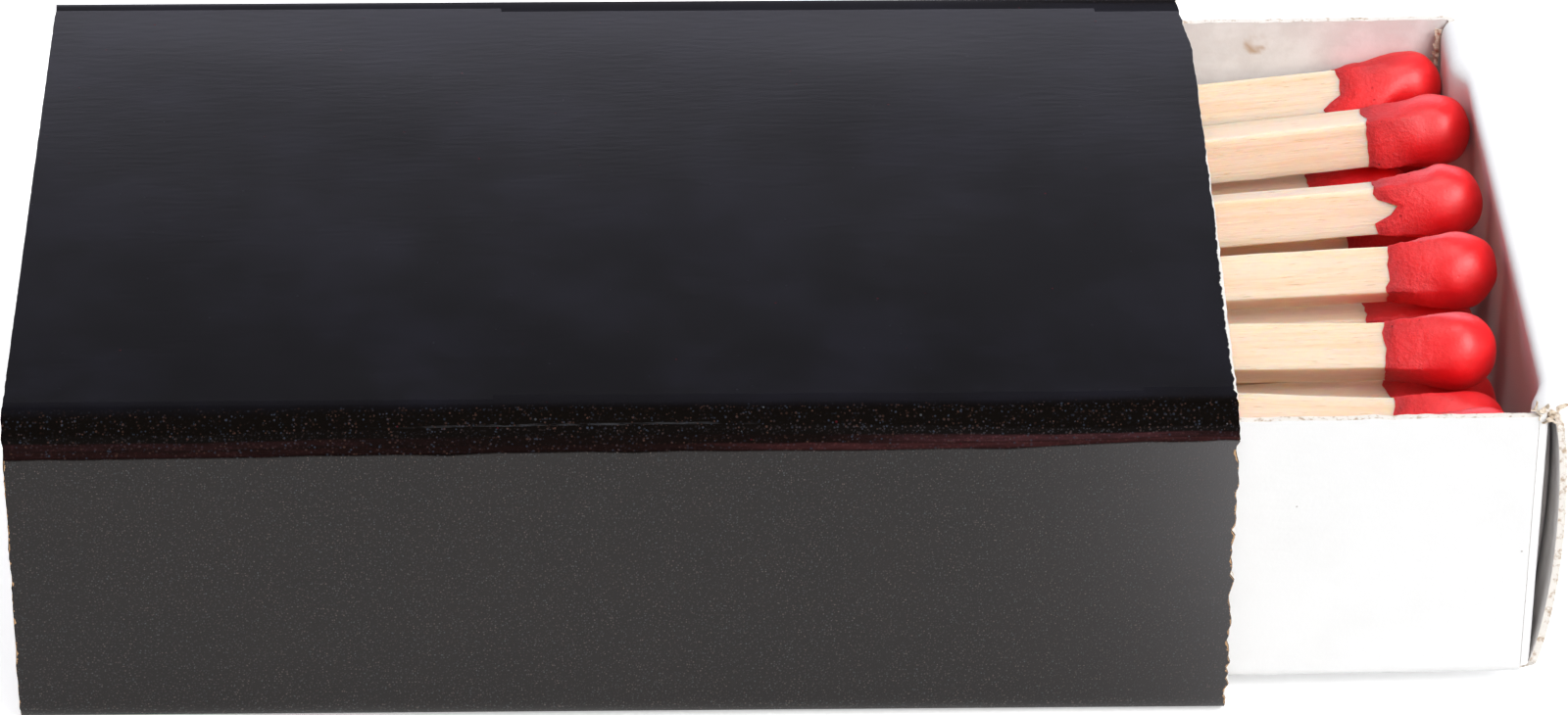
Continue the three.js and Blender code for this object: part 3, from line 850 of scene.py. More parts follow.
@dataclass
class Sleeve:
    """The sleeve: one sheet wound round in section and lapped under the box, with ragged mouths."""

    board: float = 0.45
    fold_radius: float = 1.1
    lap_width: float = 29.0
    lap_relief: float = 0.3
    step: float = 0.3
    near_mouth: tuple[float, ...] = (0.0, 0.05, 0.12, 0.22, 0.35, 0.55, 0.9, 1.6, 3.0)
    middle_step: float = 2.0
    far_corner_recess: float = 0.45
    near_corner_recess: float = 0.16
    top_ragged: float = 0.012
    side_ragged: float = 0.05
    clean_share: float = 0.3
    strip_thickness: float = 0.08
    strip_top_left: float = 13.95
    strip_top_middle: float = 14.2
    strip_top_right: float = 14.53
    dull_reach: float = 2.7

    def __post_init__(self) -> None:
        """Reads the sleeve's outer size from the frame."""
        low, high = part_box("sleeve")
        self.length = (high.x - low.x) / MM
        self.half = (high.y - low.y) / MM / 2.0
        self.height = (high.z - low.z) / MM

    def section(self) -> tuple[np.ndarray, np.ndarray]:
        """Middle line of the wound sheet as (y, z), and 1 on its folds.

        It runs from the lap under the box to the near side, over the top, down the far side and back in
        over the floor, as straight stretches and arcs.

        Returns:
            The points and a mark for each.
        """
        half, height, board, radius = self.half, self.height, self.board, self.fold_radius
        mid = radius - board / 2.0
        near, far = -half + radius, half - radius
        top = height - radius
        lap_end = far - self.lap_width
        line = joined(
            straight((far - self.lap_relief, board / 2.0), (near, board / 2.0), self.step * 2.0),
            bend((near, radius), mid, 270.0, 180.0, 8),
            straight((-half + board / 2.0, radius), (-half + board / 2.0, top), self.step),
            bend((near, top), mid, 180.0, 90.0, 12),
            straight((near, height - board / 2.0), (far, height - board / 2.0), self.step),
            bend((far, top), mid, 90.0, 0.0, 12),
            straight((half - board / 2.0, top), (half - board / 2.0, board + radius), self.step),
            bend((far, board + radius), mid, 0.0, -90.0, 8),
            straight((far, 1.5 * board), (lap_end, 1.5 * board), self.step * 2.0),
        )
        flat_y = np.abs(line[:, 0]) < half - radius + 1e-6
        flat_z = (line[:, 1] > radius - 1e-6) & (line[:, 1] < top + 1e-6)
        return line, 1.0 - (flat_y | flat_z).astype(float)

    def mouth(self, line: np.ndarray, seed: int, corners: bool) -> np.ndarray:
        """How far the cut stands back from its furthest point, along the section.

        Args:
            line: Middle line as (y, z).
            seed: Seed of the ragged cut.
            corners: Whether the cut curves back at its corners, as at the photographed mouth.

        Returns:
            Recess in millimetres, from 0 up.
        """
        place = np.column_stack([np.zeros(len(line)), line])
        on_side = smooth_step(np.abs(line[:, 0]), self.half - 1.3, self.half - 0.4)
        nibbled = smooth_step(np.abs(line[:, 0]), self.half - 4.0, self.half - 1.5)
        broad = (self.top_ragged + (self.side_ragged - self.top_ragged) * on_side) * waves(place, 2.2, seed)
        fine = (self.top_ragged + 0.035 * nibbled) * waves(place, 0.55, seed + 1)
        recess = np.clip(broad + fine, -0.14, 0.16) * (1.0 if corners else self.clean_share)
        if corners:
            y = line[:, 0]
            recess = recess + self.far_corner_recess * smooth_step(y, self.half - 6.0, self.half - 1.0)
            recess = recess + self.near_corner_recess * smooth_step(-y, 0.0, self.half)
        return recess

    def strip_top(self, shares: np.ndarray) -> np.ndarray:
        """Height of the striking coat's upper edge: it rises gently to the middle, and again at the end."""
        first = (self.strip_top_middle - self.strip_top_left) * smooth_step(shares, 0.0, 0.5)
        second = (self.strip_top_right - self.strip_top_middle) * smooth_step(shares, 0.8, 0.96)
        return self.strip_top_left + first + second

    def over_coat(self, line: np.ndarray, shares: np.ndarray) -> np.ndarray:
        """Length round the section above the nearer striking coat's upper edge, below 0 under it."""
        run = run_length(line)
        fold_start = self.height - self.fold_radius
        up_near = np.interp(fold_start, *self.side_of(line, run, -1.0))
        up_far = np.interp(fold_start, *self.side_of(line, run, 1.0))
        past = np.minimum(run - up_near, up_far - run)
        return past[:, None] + fold_start - self.strip_top(shares)

    def side_of(self, line: np.ndarray, run: np.ndarray, side: float) -> tuple[np.ndarray, np.ndarray]:
        """Heights and run lengths on one narrow side, by rising height."""
        chosen = line[:, 0] * side > self.half - 0.6 * self.board
        order = np.argsort(line[chosen, 1])
        return line[chosen, 1][order], run[chosen][order]

    def edge_width(self, y: np.ndarray) -> np.ndarray:
        """Width of the white cut edge that shows at the photographed mouth, wider towards the near fold."""
        width = 0.02 + 0.09 * smooth_step(-y, -4.0, -2.5) + 0.14 * smooth_step(-y, 2.0, 8.0)
        width = width - 0.08 * smooth_step(-y, 12.0, 14.0)
        return width * (1.0 - smooth_step(-y, 16.2, 16.9))

    def stations(self) -> np.ndarray:
        """Shares of the length, packed close at both mouths."""
        ends = np.array(self.near_mouth)
        inner = np.arange(ends[-1] + self.middle_step, self.length - ends[-1], self.middle_step)
        places = np.concatenate([ends, inner, self.length - ends[::-1]])
        return places / self.length

    def shell(self) -> Shell:
        """The wound sheet: its section carried along X between two ragged cuts."""
        line, fold = self.section()
        outward = left_of(line)
        shares = self.stations()[None, :]
        back = self.mouth(line, 31, False)[:, None]
        front = self.mouth(line, 47, True)[:, None]
        low = -self.length / 2.0 + back
        high = self.length / 2.0 + 0.08 - front
        x = low + (high - low) * shares
        flat = np.broadcast_to(line[:, None, :], (*x.shape, 2))
        place = np.dstack([x, flat])
        from_fold = np.maximum(self.half - np.abs(line[:, 0]), 0.0) * (line[:, 1] > self.height / 2.0)
        panel = smooth_step(from_fold, 1.5, 7.0)[:, None]
        wavy = 0.012 * waves(place, 17.0, 5) * panel
        layers = []
        for sign in (1.0, -1.0):
            offset = sign * self.board / 2.0 + wavy
            section = line[:, None, :] + outward[:, None, :] * offset[..., None]
            layers.append(np.dstack([x, section]))
        from_mouth = np.minimum(x - low, high - x)
        over = self.over_coat(line, shares) * np.ones_like(x)
        upper = (line[:, 1] > self.height / 2.0)[:, None]
        over = np.where(upper, over, -9.0)
        # On the upper side the fold mark covers the band from the fold down to just above the striking coat,
        # where the print gets painted shade.
        fold = np.where(upper, 1.0 - smooth_step(over, 1.65, 2.2), fold[:, None])
        left = 1.0 - smooth_step(shares, 0.15, 0.42)
        end = smooth_step(shares, 0.93, 0.97)
        chip = np.where(shares > 0.5, self.edge_width(line[:, 0])[:, None] * upper, 0.02)
        marks = {
            "from_mouth": from_mouth,
            "fold": fold,
            "over_coat": over / (1.0 - 0.4 * smooth_step(shares, 0.72, 0.95)),
            "low_print": upper * (0.12 + 0.2 * left + 0.8 * smooth_step(shares, 0.52, 0.66)),
            "high_print": upper * (0.05 + 0.25 * left + 0.9 * smooth_step(shares, 0.66, 0.8)) * (1.0 - 0.6 * end),
            "upper_print": upper * (0.2 + 0.25 * left + 0.7 * smooth_step(shares, 0.56, 0.75)),
            "middle_line": upper * smooth_step(shares, 0.3, 0.4) * (1.0 - smooth_step(shares, 0.55, 0.62)),
            "chip": chip,
        }
        marks = {name: values * np.ones_like(x) for name, values in marks.items()}
        shell = sheet_shell(layers[0], layers[1], marks)
        dull = over.reshape(-1)[shell.faces[0]].max(1) < self.dull_reach
        dull &= over.reshape(-1)[shell.faces[0]].min(1) > -1.0
        shell.finishes[0] = np.where(dull, len(Side), shell.finishes[0])
        return shell

    def strip_shell(self, side: float) -> Shell:
        """Striking coat on a narrow side: a thin skin from the lower fold to its slanted top edge."""
        line, _ = self.section()
        outward = left_of(line)
        on_side = line[:, 0] * side > self.half - self.fold_radius + 0.15
        on_side &= line[:, 1] < self.height - self.fold_radius
        chosen = np.flatnonzero(on_side)
        line, outward = line[chosen], outward[chosen]
        shares = self.stations()[None, :]
        back = self.mouth(line, 31, False)[:, None]
        front = self.mouth(line, 47, True)[:, None]
        low = -self.length / 2.0 + back + 0.02
        high = self.length / 2.0 + 0.06 - front
        x = low + (high - low) * shares
        foot = line[:, 1].min()
        top = self.strip_top(shares)
        top = top + 0.03 * waves(np.dstack([x[:1], x[:1] * 0.0, x[:1] * 0.0]), 3.0, 9)
        lift = (line[:, 1] - foot) / (line[:, 1].max() - foot)
        z = foot + lift[:, None] * (top - foot)
        layers = []
        for depth in (self.strip_thickness, -0.02):
            section = line[:, None, :] + outward[:, None, :] * (self.board / 2.0 + depth)
            section = np.broadcast_to(section, (*x.shape, 2)).copy()
            straight_part = line[:, 1] > self.fold_radius + self.board
            section[straight_part, :, 1] = z[straight_part]
            layers.append(np.dstack([x, section]))
        # Painted sheen: a share that rises steeply towards the mouth and up the coat, which pales the striking
        # coat there.
        rubbed = shares ** 13 * (0.4 + 0.6 * smooth_step(lift, 0.1, 1.0)[:, None]) + 0.08 * shares ** 4
        marks = {"from_mouth": np.minimum(x - low, high - x), "rubbed": rubbed}
        return sheet_shell(layers[0], layers[1], marks)

    def build(self) -> None:
        """Makes the sleeve and its two striking coats."""
        card = [PrintedCard().material(), GreyBoard().material(), RawEdge().material(), FoldedPrint().material()]
        make_piece("printed_sleeve", self.shell(), card, "sleeve", ["sleeve"], 50.0)
        coat = [StrikingCoat().material()] * len(Side)
        for label, side in (("near", -1.0), ("far", 1.0)):
            node = f"striking_strip_{label}"
            make_piece(f"striking_coat_{label}", self.strip_shell(side), coat, "sleeve", [node])


# The tray


@dataclass
class Tray:
    """The tray: floor and folded-over end walls as one strip, side walls with tabs turned in between."""

    width: float = 34.0
    height: float = 13.8
    length: float = 51.6
    board: float = 0.33
    fold_radius: float = 0.45
    opening: float = 13.9
    rest_height: float = 1.0
    skew_room: float = 0.46
    front_bow: float = 0.84
    rear_bow: float = 0.42
    rim_lean: float = 0.4
    bow_sharpness: float = 0.6
    layer_gap: float = 0.05
    panel_edge_inset: float = 0.12
    flap_side_gap: float = 0.07
    far_flap_gap: float = 1.1
    flap_floor_gap: float = 0.3
    tab_length: float = 3.6
    tab_top_drop: float = 0.5
    tab_floor_gap: float = 0.6
    pinch_length: float = 2.0
    torn_tab_length: float = 0.9
    near_rim_drop: float = 0.12
    flakes: int = 12
    flake_length: float = 0.62
    flake_width: float = 0.34
    tab_flakes: int = 6
    stain_place: tuple[float, float] = (16.4, 12.6)
    stain_radius: float = 0.35

    def __post_init__(self) -> None:
        """Works out the sizes that several folds share, and the tray's place in the sleeve."""
        self.end_fold = self.length / 2.0
        self.half = self.width / 2.0
        skew = math.asin(2.0 * self.skew_room / self.length)
        place = Matrix.Translation((self.opening, 0.0, self.rest_height)) @ Matrix.Rotation(skew, 4, "Z")
        self.place = np.array(place)

    def stand(self, z: np.ndarray, bow: float) -> np.ndarray:
        """How far an end panel stands out of the end fold: bow (4 s (1 - s))^sharpness + lean s."""
        share = np.clip(z / self.height, 0.0, 1.0)
        return bow * (4.0 * share * (1.0 - share)) ** self.bow_sharpness + self.rim_lean * share

    def end_line(self, bow: float, pinch: float) -> tuple[np.ndarray, np.ndarray]:
        """Middle line of an end wall as (x, z), from the flap's free edge to the floor.

        Args:
            bow: How far the outer panel bows out.
            pinch: 1 where a tab parts the two layers, 0 where they touch.

        Returns:
            The points, and each point's stretch: 0 flap, 1 rim, 2 panel, 3 lower fold.
        """
        board, radius = self.board, self.fold_radius
        panel_x = lambda z: self.end_fold + self.stand(z, bow) - board / 2.0
        parted = self.end_fold - 1.5 * board - self.layer_gap
        flap_x = lambda z: (panel_x(z) - board - self.layer_gap) * (1.0 - pinch) + parted * pinch
        rise = (panel_x(np.array(self.height)) - flap_x(np.array(self.height))) / 2.0
        high = self.height - float(rise) - board / 2.0
        up = np.linspace(board + self.flap_floor_gap, high, 26)
        flap = np.column_stack([flap_x(up), up])
        centre = (flap_x(np.array(high)) + panel_x(np.array(high))) / 2.0
        reach = (panel_x(np.array(high)) - flap_x(np.array(high))) / 2.0
        turn = np.radians(np.linspace(180.0, 0.0, 9))[1:-1]
        rim = np.column_stack([centre + reach * np.cos(turn), high + float(rise) * np.sin(turn)])
        down = radius + (high - radius) * (1.0 + np.cos(np.linspace(0.0, math.pi, 34))) / 2.0
        panel = np.column_stack([panel_x(down), down])
        fold = bend((self.end_fold - radius, radius), radius - board / 2.0, -30.0, -90.0, 4)
        line = np.concatenate([flap, rim, panel, fold])
        stretch = np.repeat([0, 1, 2, 3], [len(flap), len(rim), len(panel), len(fold)])
        return line, stretch

    def spread(self, stretch: np.ndarray) -> tuple[np.ndarray, np.ndarray]:
        """Where the strip's two side edges lie at each point of an end line, as near y and far y."""
        inner = self.half - self.board
        near = np.select(
            [stretch == 0, stretch == 1, stretch == 2],
            [inner - self.flap_side_gap, inner - self.flap_side_gap, self.half - self.panel_edge_inset],
            self.half - self.fold_radius,
        )
        far = np.where(stretch == 0, inner - self.far_flap_gap, near)
        soft = np.ones(5) / 5.0
        eased = [np.convolve(np.pad(edge, 2, mode="edge"), soft, "valid") for edge in (near, far)]
        return -eased[0], eased[1]

    def strip_shell(self) -> Shell:
        """Floor and both end walls: the end lines and the floor between them, lofted across the tray."""
        steps = 61
        across = np.linspace(-1.0, 1.0, steps)
        tab_end = self.half - self.tab_length
        columns = []
        for share in across:
            lines = []
            for sign, bow in ((1.0, self.front_bow), (-1.0, self.rear_bow)):
                y_guess = abs(share) * (self.half - self.board)
                torn = sign > 0.0 and share < 0.0
                parted_from = self.half - self.torn_tab_length if torn else tab_end
                pinch = 1.0 - float(smooth_step(np.array(parted_from - y_guess), 0.0, self.pinch_length))
                line, stretch = self.end_line(bow, pinch)
                near, far = self.spread(stretch)
                y = near + (far - near) * (share + 1.0) / 2.0
                wander = 0.01 * waves(np.column_stack([line[:, 0], y, line[:, 1]]), 6.0, 71)
                line = line + np.column_stack([wander * (stretch > 0) * (stretch < 3), np.zeros(len(line))])
                lines.append(np.column_stack([sign * line[:, 0], y, line[:, 1]]))
            front, rear = lines[0], lines[1][::-1]
            floor_x = np.linspace(front[-1, 0], rear[0, 0], 30)[1:-1]
            floor_y = np.full(len(floor_x), front[-1, 1])
            floor = np.column_stack([floor_x, floor_y, np.full(len(floor_x), self.board / 2.0)])
            columns.append(np.concatenate([front, floor, rear]))
        grid = np.stack(columns, axis=1)
        normal = left_of(grid[..., [0, 2]])
        normal = np.dstack([normal[..., 0], np.zeros(grid.shape[:2]), normal[..., 1]])
        outer = grid + normal * self.board / 2.0
        inner = grid - normal * self.board / 2.0
        return sheet_shell(outer, inner, {"rim": np.zeros(grid.shape[:2])})

    def wall_shells(self) -> list[Shell]:
        """Side walls: the fold and wall along the tray, then each corner and its tab."""
        shells = []
        board, radius = self.board, self.fold_radius
        wall_y = self.half - board / 2.0
        section = joined(
            bend((self.half - radius, radius), radius - board / 2.0, -90.0, 0.0, 6),
            straight((wall_y, radius), (wall_y, self.height), 0.2),
        )
        run = self.end_fold - radius
        x = np.linspace(-run, run, 260)
        tab_face = self.end_fold - board / 2.0
        for side in (-1.0, 1.0):
            shells.append(self.wall_run(section, x, side))
            for end in (-1.0, 1.0):
                torn = side < 0.0 < end
                tab_end = self.half - (self.torn_tab_length if torn else self.tab_length)
                corner = joined(
                    bend((run, self.half - radius), radius - board / 2.0, 90.0, 0.0, 8),
                    straight((tab_face, self.half - radius), (tab_face, tab_end), 0.3),
                )
                shells.append(self.corner_tab(corner, side, end))
        return shells

    def wall_run(self, section: np.ndarray, x: np.ndarray, side: float) -> Shell:
        """A side wall's long stretch: its section (y, z) carried along X, with a wandering rim."""
        normal = left_of(section)
        grids = []
        for offset in (-self.board / 2.0, self.board / 2.0):
            face = section + normal * offset
            y = np.broadcast_to(face[:, :1], (len(section), len(x))).copy()
            z = np.broadcast_to(face[:, 1:], (len(section), len(x))).copy()
            rim = 0.02 * waves(np.column_stack([x, x * 0.0, x * 0.0]), 0.9, 83 + int(side))
            z[-1] += rim - self.near_rim_drop * (side < 0.0)
            grids.append(np.dstack([np.broadcast_to(x, y.shape), side * y, z]))
        place = grids[0]
        stain = np.zeros(place.shape[:2])
        if side > 0.0:
            away = np.hypot(place[..., 0] - self.stain_place[0], place[..., 2] - self.stain_place[1])
            ring = np.exp(-(((away - self.stain_radius) / 0.16) ** 2))
            stain = ring * (0.55 + 0.45 * waves(place, 0.8, 19))
        return sheet_shell(grids[0], grids[1], {"stain": np.clip(stain, 0.0, 0.9)})

    def corner_tab(self, corner: np.ndarray, side: float, end: float) -> Shell:
        """A corner fold and its tab: a plan line (x, y) carried up, lower at the tab's top and foot."""
        run = run_length(corner)
        tabbed = smooth_step(run, 0.55, 0.95)
        foot = self.fold_radius + (self.board + self.tab_floor_gap - self.fold_radius) * tabbed
        top = self.height - self.tab_top_drop * tabbed
        share = np.linspace(0.0, 1.0, 20)[:, None]
        z = foot + (top - foot) * share
        normal = left_of(corner)
        grids = []
        for offset in (self.board / 2.0, -self.board / 2.0):
            face = corner + normal * offset
            x = np.broadcast_to(end * face[:, 0], z.shape)
            y = np.broadcast_to(side * face[:, 1], z.shape)
            grids.append(np.dstack([x, y, z]))
        return sheet_shell(grids[0], grids[1], {})

    def torn_fibres(self) -> Shell:
        """Torn board at the near front corner: small curled flakes with seeded places and directions."""
        draw = np.random.default_rng(77)
        flakes = []
        for _ in range(self.flakes):
            root = (
                self.end_fold + draw.uniform(-0.6, 0.35),
                -self.half + draw.uniform(0.05, 0.6),
                self.height + draw.uniform(-0.6, 0.0),
            )
            heading = (draw.uniform(-0.7, 0.9), draw.uniform(-0.5, 0.5), draw.uniform(0.0, 0.6))
            length = self.flake_length * draw.uniform(0.6, 1.1)
            flakes.append(self.flake(root, heading, draw.normal(size=3), length, draw.uniform(-0.5, 0.5)))
        return Shell.together(flakes)

    def tab_fibres(self) -> Shell:
        """Frayed edge of the far tab, standing in the slot between the far wall and the end wall's flap."""
        draw = np.random.default_rng(78)
        flakes = []
        for step in range(self.tab_flakes):
            root = (
                self.end_fold - draw.uniform(0.75, 0.95),
                self.half - self.board - draw.uniform(0.15, 0.5),
                self.height - 0.25 - 0.42 * step,
            )
            heading = (draw.uniform(-0.15, 0.15), draw.uniform(-0.3, 0.1), -1.0)
            flakes.append(self.flake(root, heading, np.array([1.0, -0.3, 0.0]), self.flake_length, 0.1))
        return Shell.together(flakes)

    def flake(
        self, root: tuple[float, float, float], heading: tuple[float, float, float], beside: np.ndarray,
        length: float, curl: float,
    ) -> Shell:
        """A curled flake: root + length u along + v across + curl length u^2 out, narrowing as 1 - 0.6 u.

        Args:
            root: Where the flake leaves the board.
            heading: Direction along it.
            beside: A direction that is not along it, from which its width is turned.
            length: Its length.
            curl: How far its tip bends out, as a share of the length.

        Returns:
            The closed flake.
        """
        u, v = np.meshgrid(np.linspace(0.0, 1.0, 9), np.linspace(-1.0, 1.0, 5), indexing="ij")
        along = np.array(heading) / np.linalg.norm(heading)
        across = np.cross(along, np.cross(beside, along))
        across /= np.linalg.norm(across)
        out = np.cross(along, across)
        half_width = self.flake_width / 2.0 * (1.0 - 0.6 * u)
        spot = np.array(root) + (u * length)[..., None] * along + (v * half_width)[..., None] * across
        spot = spot + (curl * length * u ** 2 + 0.03 * waves(spot, 0.4, 91))[..., None] * out
        return sheet_shell(spot + 0.03 * out, spot - 0.03 * out, {})

    def build(self) -> None:
        """Makes the tray and the torn fibres at its near front corner."""
        shell = Shell.together([self.strip_shell(), *self.wall_shells()]).moved(self.place)
        card = [WhiteCard().material(), GreyBoard().material(), RawEdge().material()]
        make_piece("folded_tray", shell, card, "tray", ["tray"], 50.0)
        edge = [TornFibre().material()] * len(Side)
        for name, fibres in (("torn_corner_fibres", self.torn_fibres()), ("frayed_tab_edge", self.tab_fibres())):
            make_piece(name, fibres.moved(self.place), edge, "tray", [])


# The matches


@dataclass
class Match:
    """One match, measured from its CAD nodes: a sawn splint and a dipped head."""

    name: str
    nodes: list[str]
    seed: int
    fine: bool
    head_length: float = 5.0
    embedment: float = 3.0
    collar_skin: float = 0.035
    full_skin: float = 0.12
    corner_power: float = 22.0
    tongue: float = 0.0
    run_back: float = 0.0
    run_swell: float = 0.6
    run_side: tuple[float, float, float] = (0.0, -1.0, -0.1)
    shown_side: tuple[float, float, float] = (0.0, -0.84, 0.55)
    ball_front: float = math.sin(math.radians(80.0))

    def __post_init__(self) -> None:
        """Reads the axis, roll, ball and ends from the nodes' corners."""
        points = np.concatenate([self.corners(node) for node in self.nodes])
        middle = points.mean(0)
        axis = np.linalg.svd(points - middle)[2][0]
        axis = axis * math.copysign(1.0, axis[0])
        for _ in range(2):
            along = points @ axis
            tail = points[along < along.min() + 0.3]
            nose = points[along > along.max() - 0.05]
            axis = nose.mean(0) - tail.mean(0)
            axis /= np.linalg.norm(axis)
        start = tail.mean(0)
        spokes = tail - start
        spokes = spokes - np.outer(spokes @ axis, axis)
        corner = spokes[0] / np.linalg.norm(spokes[0])
        side = corner + np.cross(axis, corner)
        side /= np.linalg.norm(side)
        self.half = float(np.linalg.norm(spokes, axis=1).mean()) / math.sqrt(2.0)
        offset = points - start
        reach = offset @ axis
        self.radius = float(np.linalg.norm(offset - np.outer(reach, axis), axis=1).max())
        self.ball = float(reach.max()) - self.radius * self.ball_front
        self.collar = self.ball - (self.head_length - self.radius)
        self.splint_end = self.collar + self.embedment
        third = np.cross(axis, side)
        frame = np.eye(4)
        frame[:3, :3] = np.column_stack([axis, side, third])
        frame[:3, 3] = start
        self.frame = frame
        self.draw = np.random.default_rng(self.seed)

    @staticmethod
    def corners(node: str) -> np.ndarray:
        """A node's own corners in millimetres, each once."""
        mesh = bpy.data.objects[node].data
        flat = np.zeros(len(mesh.vertices) * 3, np.float32)
        mesh.vertices.foreach_get("co", flat)
        return np.unique((flat.reshape(-1, 3).astype(float) / MM).round(3), axis=0)

    def ring(self) -> np.ndarray:
        """Angles round the splint, closer together at its four corners."""
        per_side = 9 if self.fine else 4
        along_side = np.sin(np.linspace(-math.pi / 2.0, math.pi / 2.0, per_side + 1))[:-1]
        one = np.arctan(along_side)
        return np.concatenate([one + quarter * math.pi / 2.0 for quarter in range(4)])

    def square_reach(self, angle: np.ndarray) -> np.ndarray:
        """Reach of a square with eased corners: half (|cos|^p + |sin|^p)^(-1/p)."""
        power = self.corner_power
        return self.half * (np.abs(np.cos(angle)) ** power + np.abs(np.sin(angle)) ** power) ** (-1.0 / power)

    def rings_at(self, x: np.ndarray, reach: np.ndarray, angle: np.ndarray) -> np.ndarray:
        """Rings of points from their places along the axis, reaches and angles, each rings by places."""
        angle = np.broadcast_to(angle, reach.shape)
        return np.dstack([np.broadcast_to(x, reach.shape), reach * np.cos(angle), reach * np.sin(angle)])

    def splint_shell(self) -> Shell:
        """The splint: its eased square carried along the axis, with sawn faces that wander."""
        angle = self.ring()
        count = 70 if self.fine else 10
        x = np.linspace(0.0, self.splint_end, count)
        reach = np.broadcast_to(self.square_reach(angle), (count, len(angle))).copy()
        rings = self.rings_at(x[:, None], reach, angle)
        if self.fine:
            broad = waves(rings * np.array([0.25, 1.0, 1.0]), 2.5, self.seed)
            sawn = waves(rings * np.array([0.15, 1.0, 1.0]), 0.5, self.seed + 1)
            socketed = 1.0 - smooth_step(x, self.collar - 0.3, self.collar + 0.4)[:, None]
            reach = reach - (0.015 + 0.014 * broad + 0.008 * sawn) * socketed
            rings = self.rings_at(x[:, None], reach, angle)
        shift = self.draw.uniform(-40.0, 40.0, 3)
        grain = rings + shift
        return ring_shell(rings, 0, {"grain": grain, "neck": np.zeros(rings.shape[:2])})

    def collar_edge(self, angle: np.ndarray) -> np.ndarray:
        """How far the coat's edge stands back from the collar, round the splint."""
        round_place = np.column_stack([self.half * np.cos(angle), self.half * np.sin(angle), angle * 0.0])
        edge = 0.05 * waves(round_place, 1.6, self.seed + 2) + 0.04 * waves(round_place, 0.4, self.seed + 3)
        if self.tongue:
            away = self.away_from(self.shown_side, angle - 0.12)
            edge = edge + self.tongue * np.clip(1.0 - away / 0.45, 0.0, 1.0)
            edge = edge - 0.22 * np.exp(-(((away - 0.6) / 0.16) ** 2))
        edge = edge - self.run_back * np.clip(1.0 - self.away_from(self.run_side, angle) / 0.5, 0.0, 1.0)
        return np.clip(edge, -1.1, 1.4)

    def away_from(self, side: tuple[float, float, float], angle: np.ndarray) -> np.ndarray:
        """How far round the splint angles lie from a side given in the tray's own directions."""
        towards = np.array(side)
        middle = math.atan2(towards @ self.frame[:3, 2], towards @ self.frame[:3, 1])
        return np.abs(np.angle(np.exp(1j * (angle - middle))))

    def head_shell(self) -> Shell:
        """The head: socket, ragged collar, neck that swells from square to round, and ball.

        The reach goes from the square's to the ball's with smooth_step along the neck, and follows
        sqrt(r^2 - x^2) past the ball's middle.
        """
        angle = self.ring()
        square = self.square_reach(angle)
        socket = square + 0.01
        edge = self.collar + self.collar_edge(angle)
        rows = 22 if self.fine else 7
        caps = 14 if self.fine else 5
        share = np.linspace(0.0, 1.0, rows)[:, None]
        neck_x = edge + (self.ball - edge) * share
        swell = smooth_step((neck_x - self.collar) / (self.ball - self.collar), 0.0, 1.0)
        thick = self.collar_skin + (self.full_skin - self.collar_skin) * smooth_step(neck_x - edge, 0.0, 0.7)
        coated = square + thick
        neck_reach = coated + (np.maximum(self.radius, coated) - coated) * swell
        if self.run_back:
            lobe = np.exp(-((self.away_from(self.run_side, angle) / 0.5) ** 2))
            run = neck_x - edge
            lobe = lobe * smooth_step(run, 0.0, 1.0) * (1.0 - smooth_step(run, 2.0, 3.6))
            neck_reach = neck_reach + self.run_swell * lobe
        neck_reach = neck_reach + (self.radius - neck_reach) * smooth_step(share, 0.8, 1.0)
        lift = np.radians(np.linspace(0.0, 88.0, caps + 1))[1:, None]
        cap_x = self.ball + self.radius * np.sin(lift) + 0.0 * angle
        cap_reach = self.radius * np.cos(lift) + 0.0 * angle
        outer = self.rings_at(np.concatenate([neck_x, cap_x]), np.concatenate([neck_reach, cap_reach]), angle)
        if self.fine:
            outer = self.roughened(outer)
        bottom = self.splint_end + 0.01
        inner_x = np.stack([np.full(len(angle), bottom), edge])
        inner = self.rings_at(inner_x, np.stack([socket, socket]), angle)
        rings = np.concatenate([inner, outer])
        neck = np.clip((self.ball - rings[..., 0]) / (self.ball - self.collar), 0.0, 1.0)
        return ring_shell(rings, 1, {"neck": smooth_step(neck, 0.1, 0.9), "grain": rings})

    def roughened(self, rings: np.ndarray) -> np.ndarray:
        """Rings moved in or out by soft lumps everywhere and finer ones on the neck."""
        lumps = 0.028 * waves(rings, 1.7, self.seed + 4)
        neck = np.clip((self.ball - rings[..., 0]) / (self.ball - self.collar), 0.0, 1.0)
        fine = 0.018 * waves(rings, 0.42, self.seed + 5) * smooth_step(neck, 0.15, 0.7)
        away = rings - np.array([self.ball, 0.0, 0.0]) * (rings[..., :1] > self.ball)
        away = np.where(rings[..., :1] > self.ball, away, rings * np.array([0.0, 1.0, 1.0]))
        away = away / np.maximum(np.linalg.norm(away, axis=-1, keepdims=True), 1e-6)
        faded = smooth_step(rings[..., 0] - rings[:1, :, 0], 0.0, 0.3)
        return rings + away * ((lumps + fine) * faded)[..., None]

    def build(self) -> None:
        """Makes the splint and the head, as one piece where the CAD node holds both."""
        wood, coat = SplintWood().material(), HeadCoat().material()
        splint = self.splint_shell().moved(self.frame)
        head = self.head_shell().moved(self.frame)
        if len(self.nodes) == 1:
            both = Shell.together([splint, head])
            make_piece(f"{self.name}_whole", both, [wood, coat], "tray", self.nodes, 40.0)
            return
        make_piece(f"{self.name}_wood", splint, [wood, coat], "tray", self.nodes[:1], 40.0)
        make_piece(f"{self.name}_coat", head, [wood, coat], "tray", self.nodes[1:], 60.0)


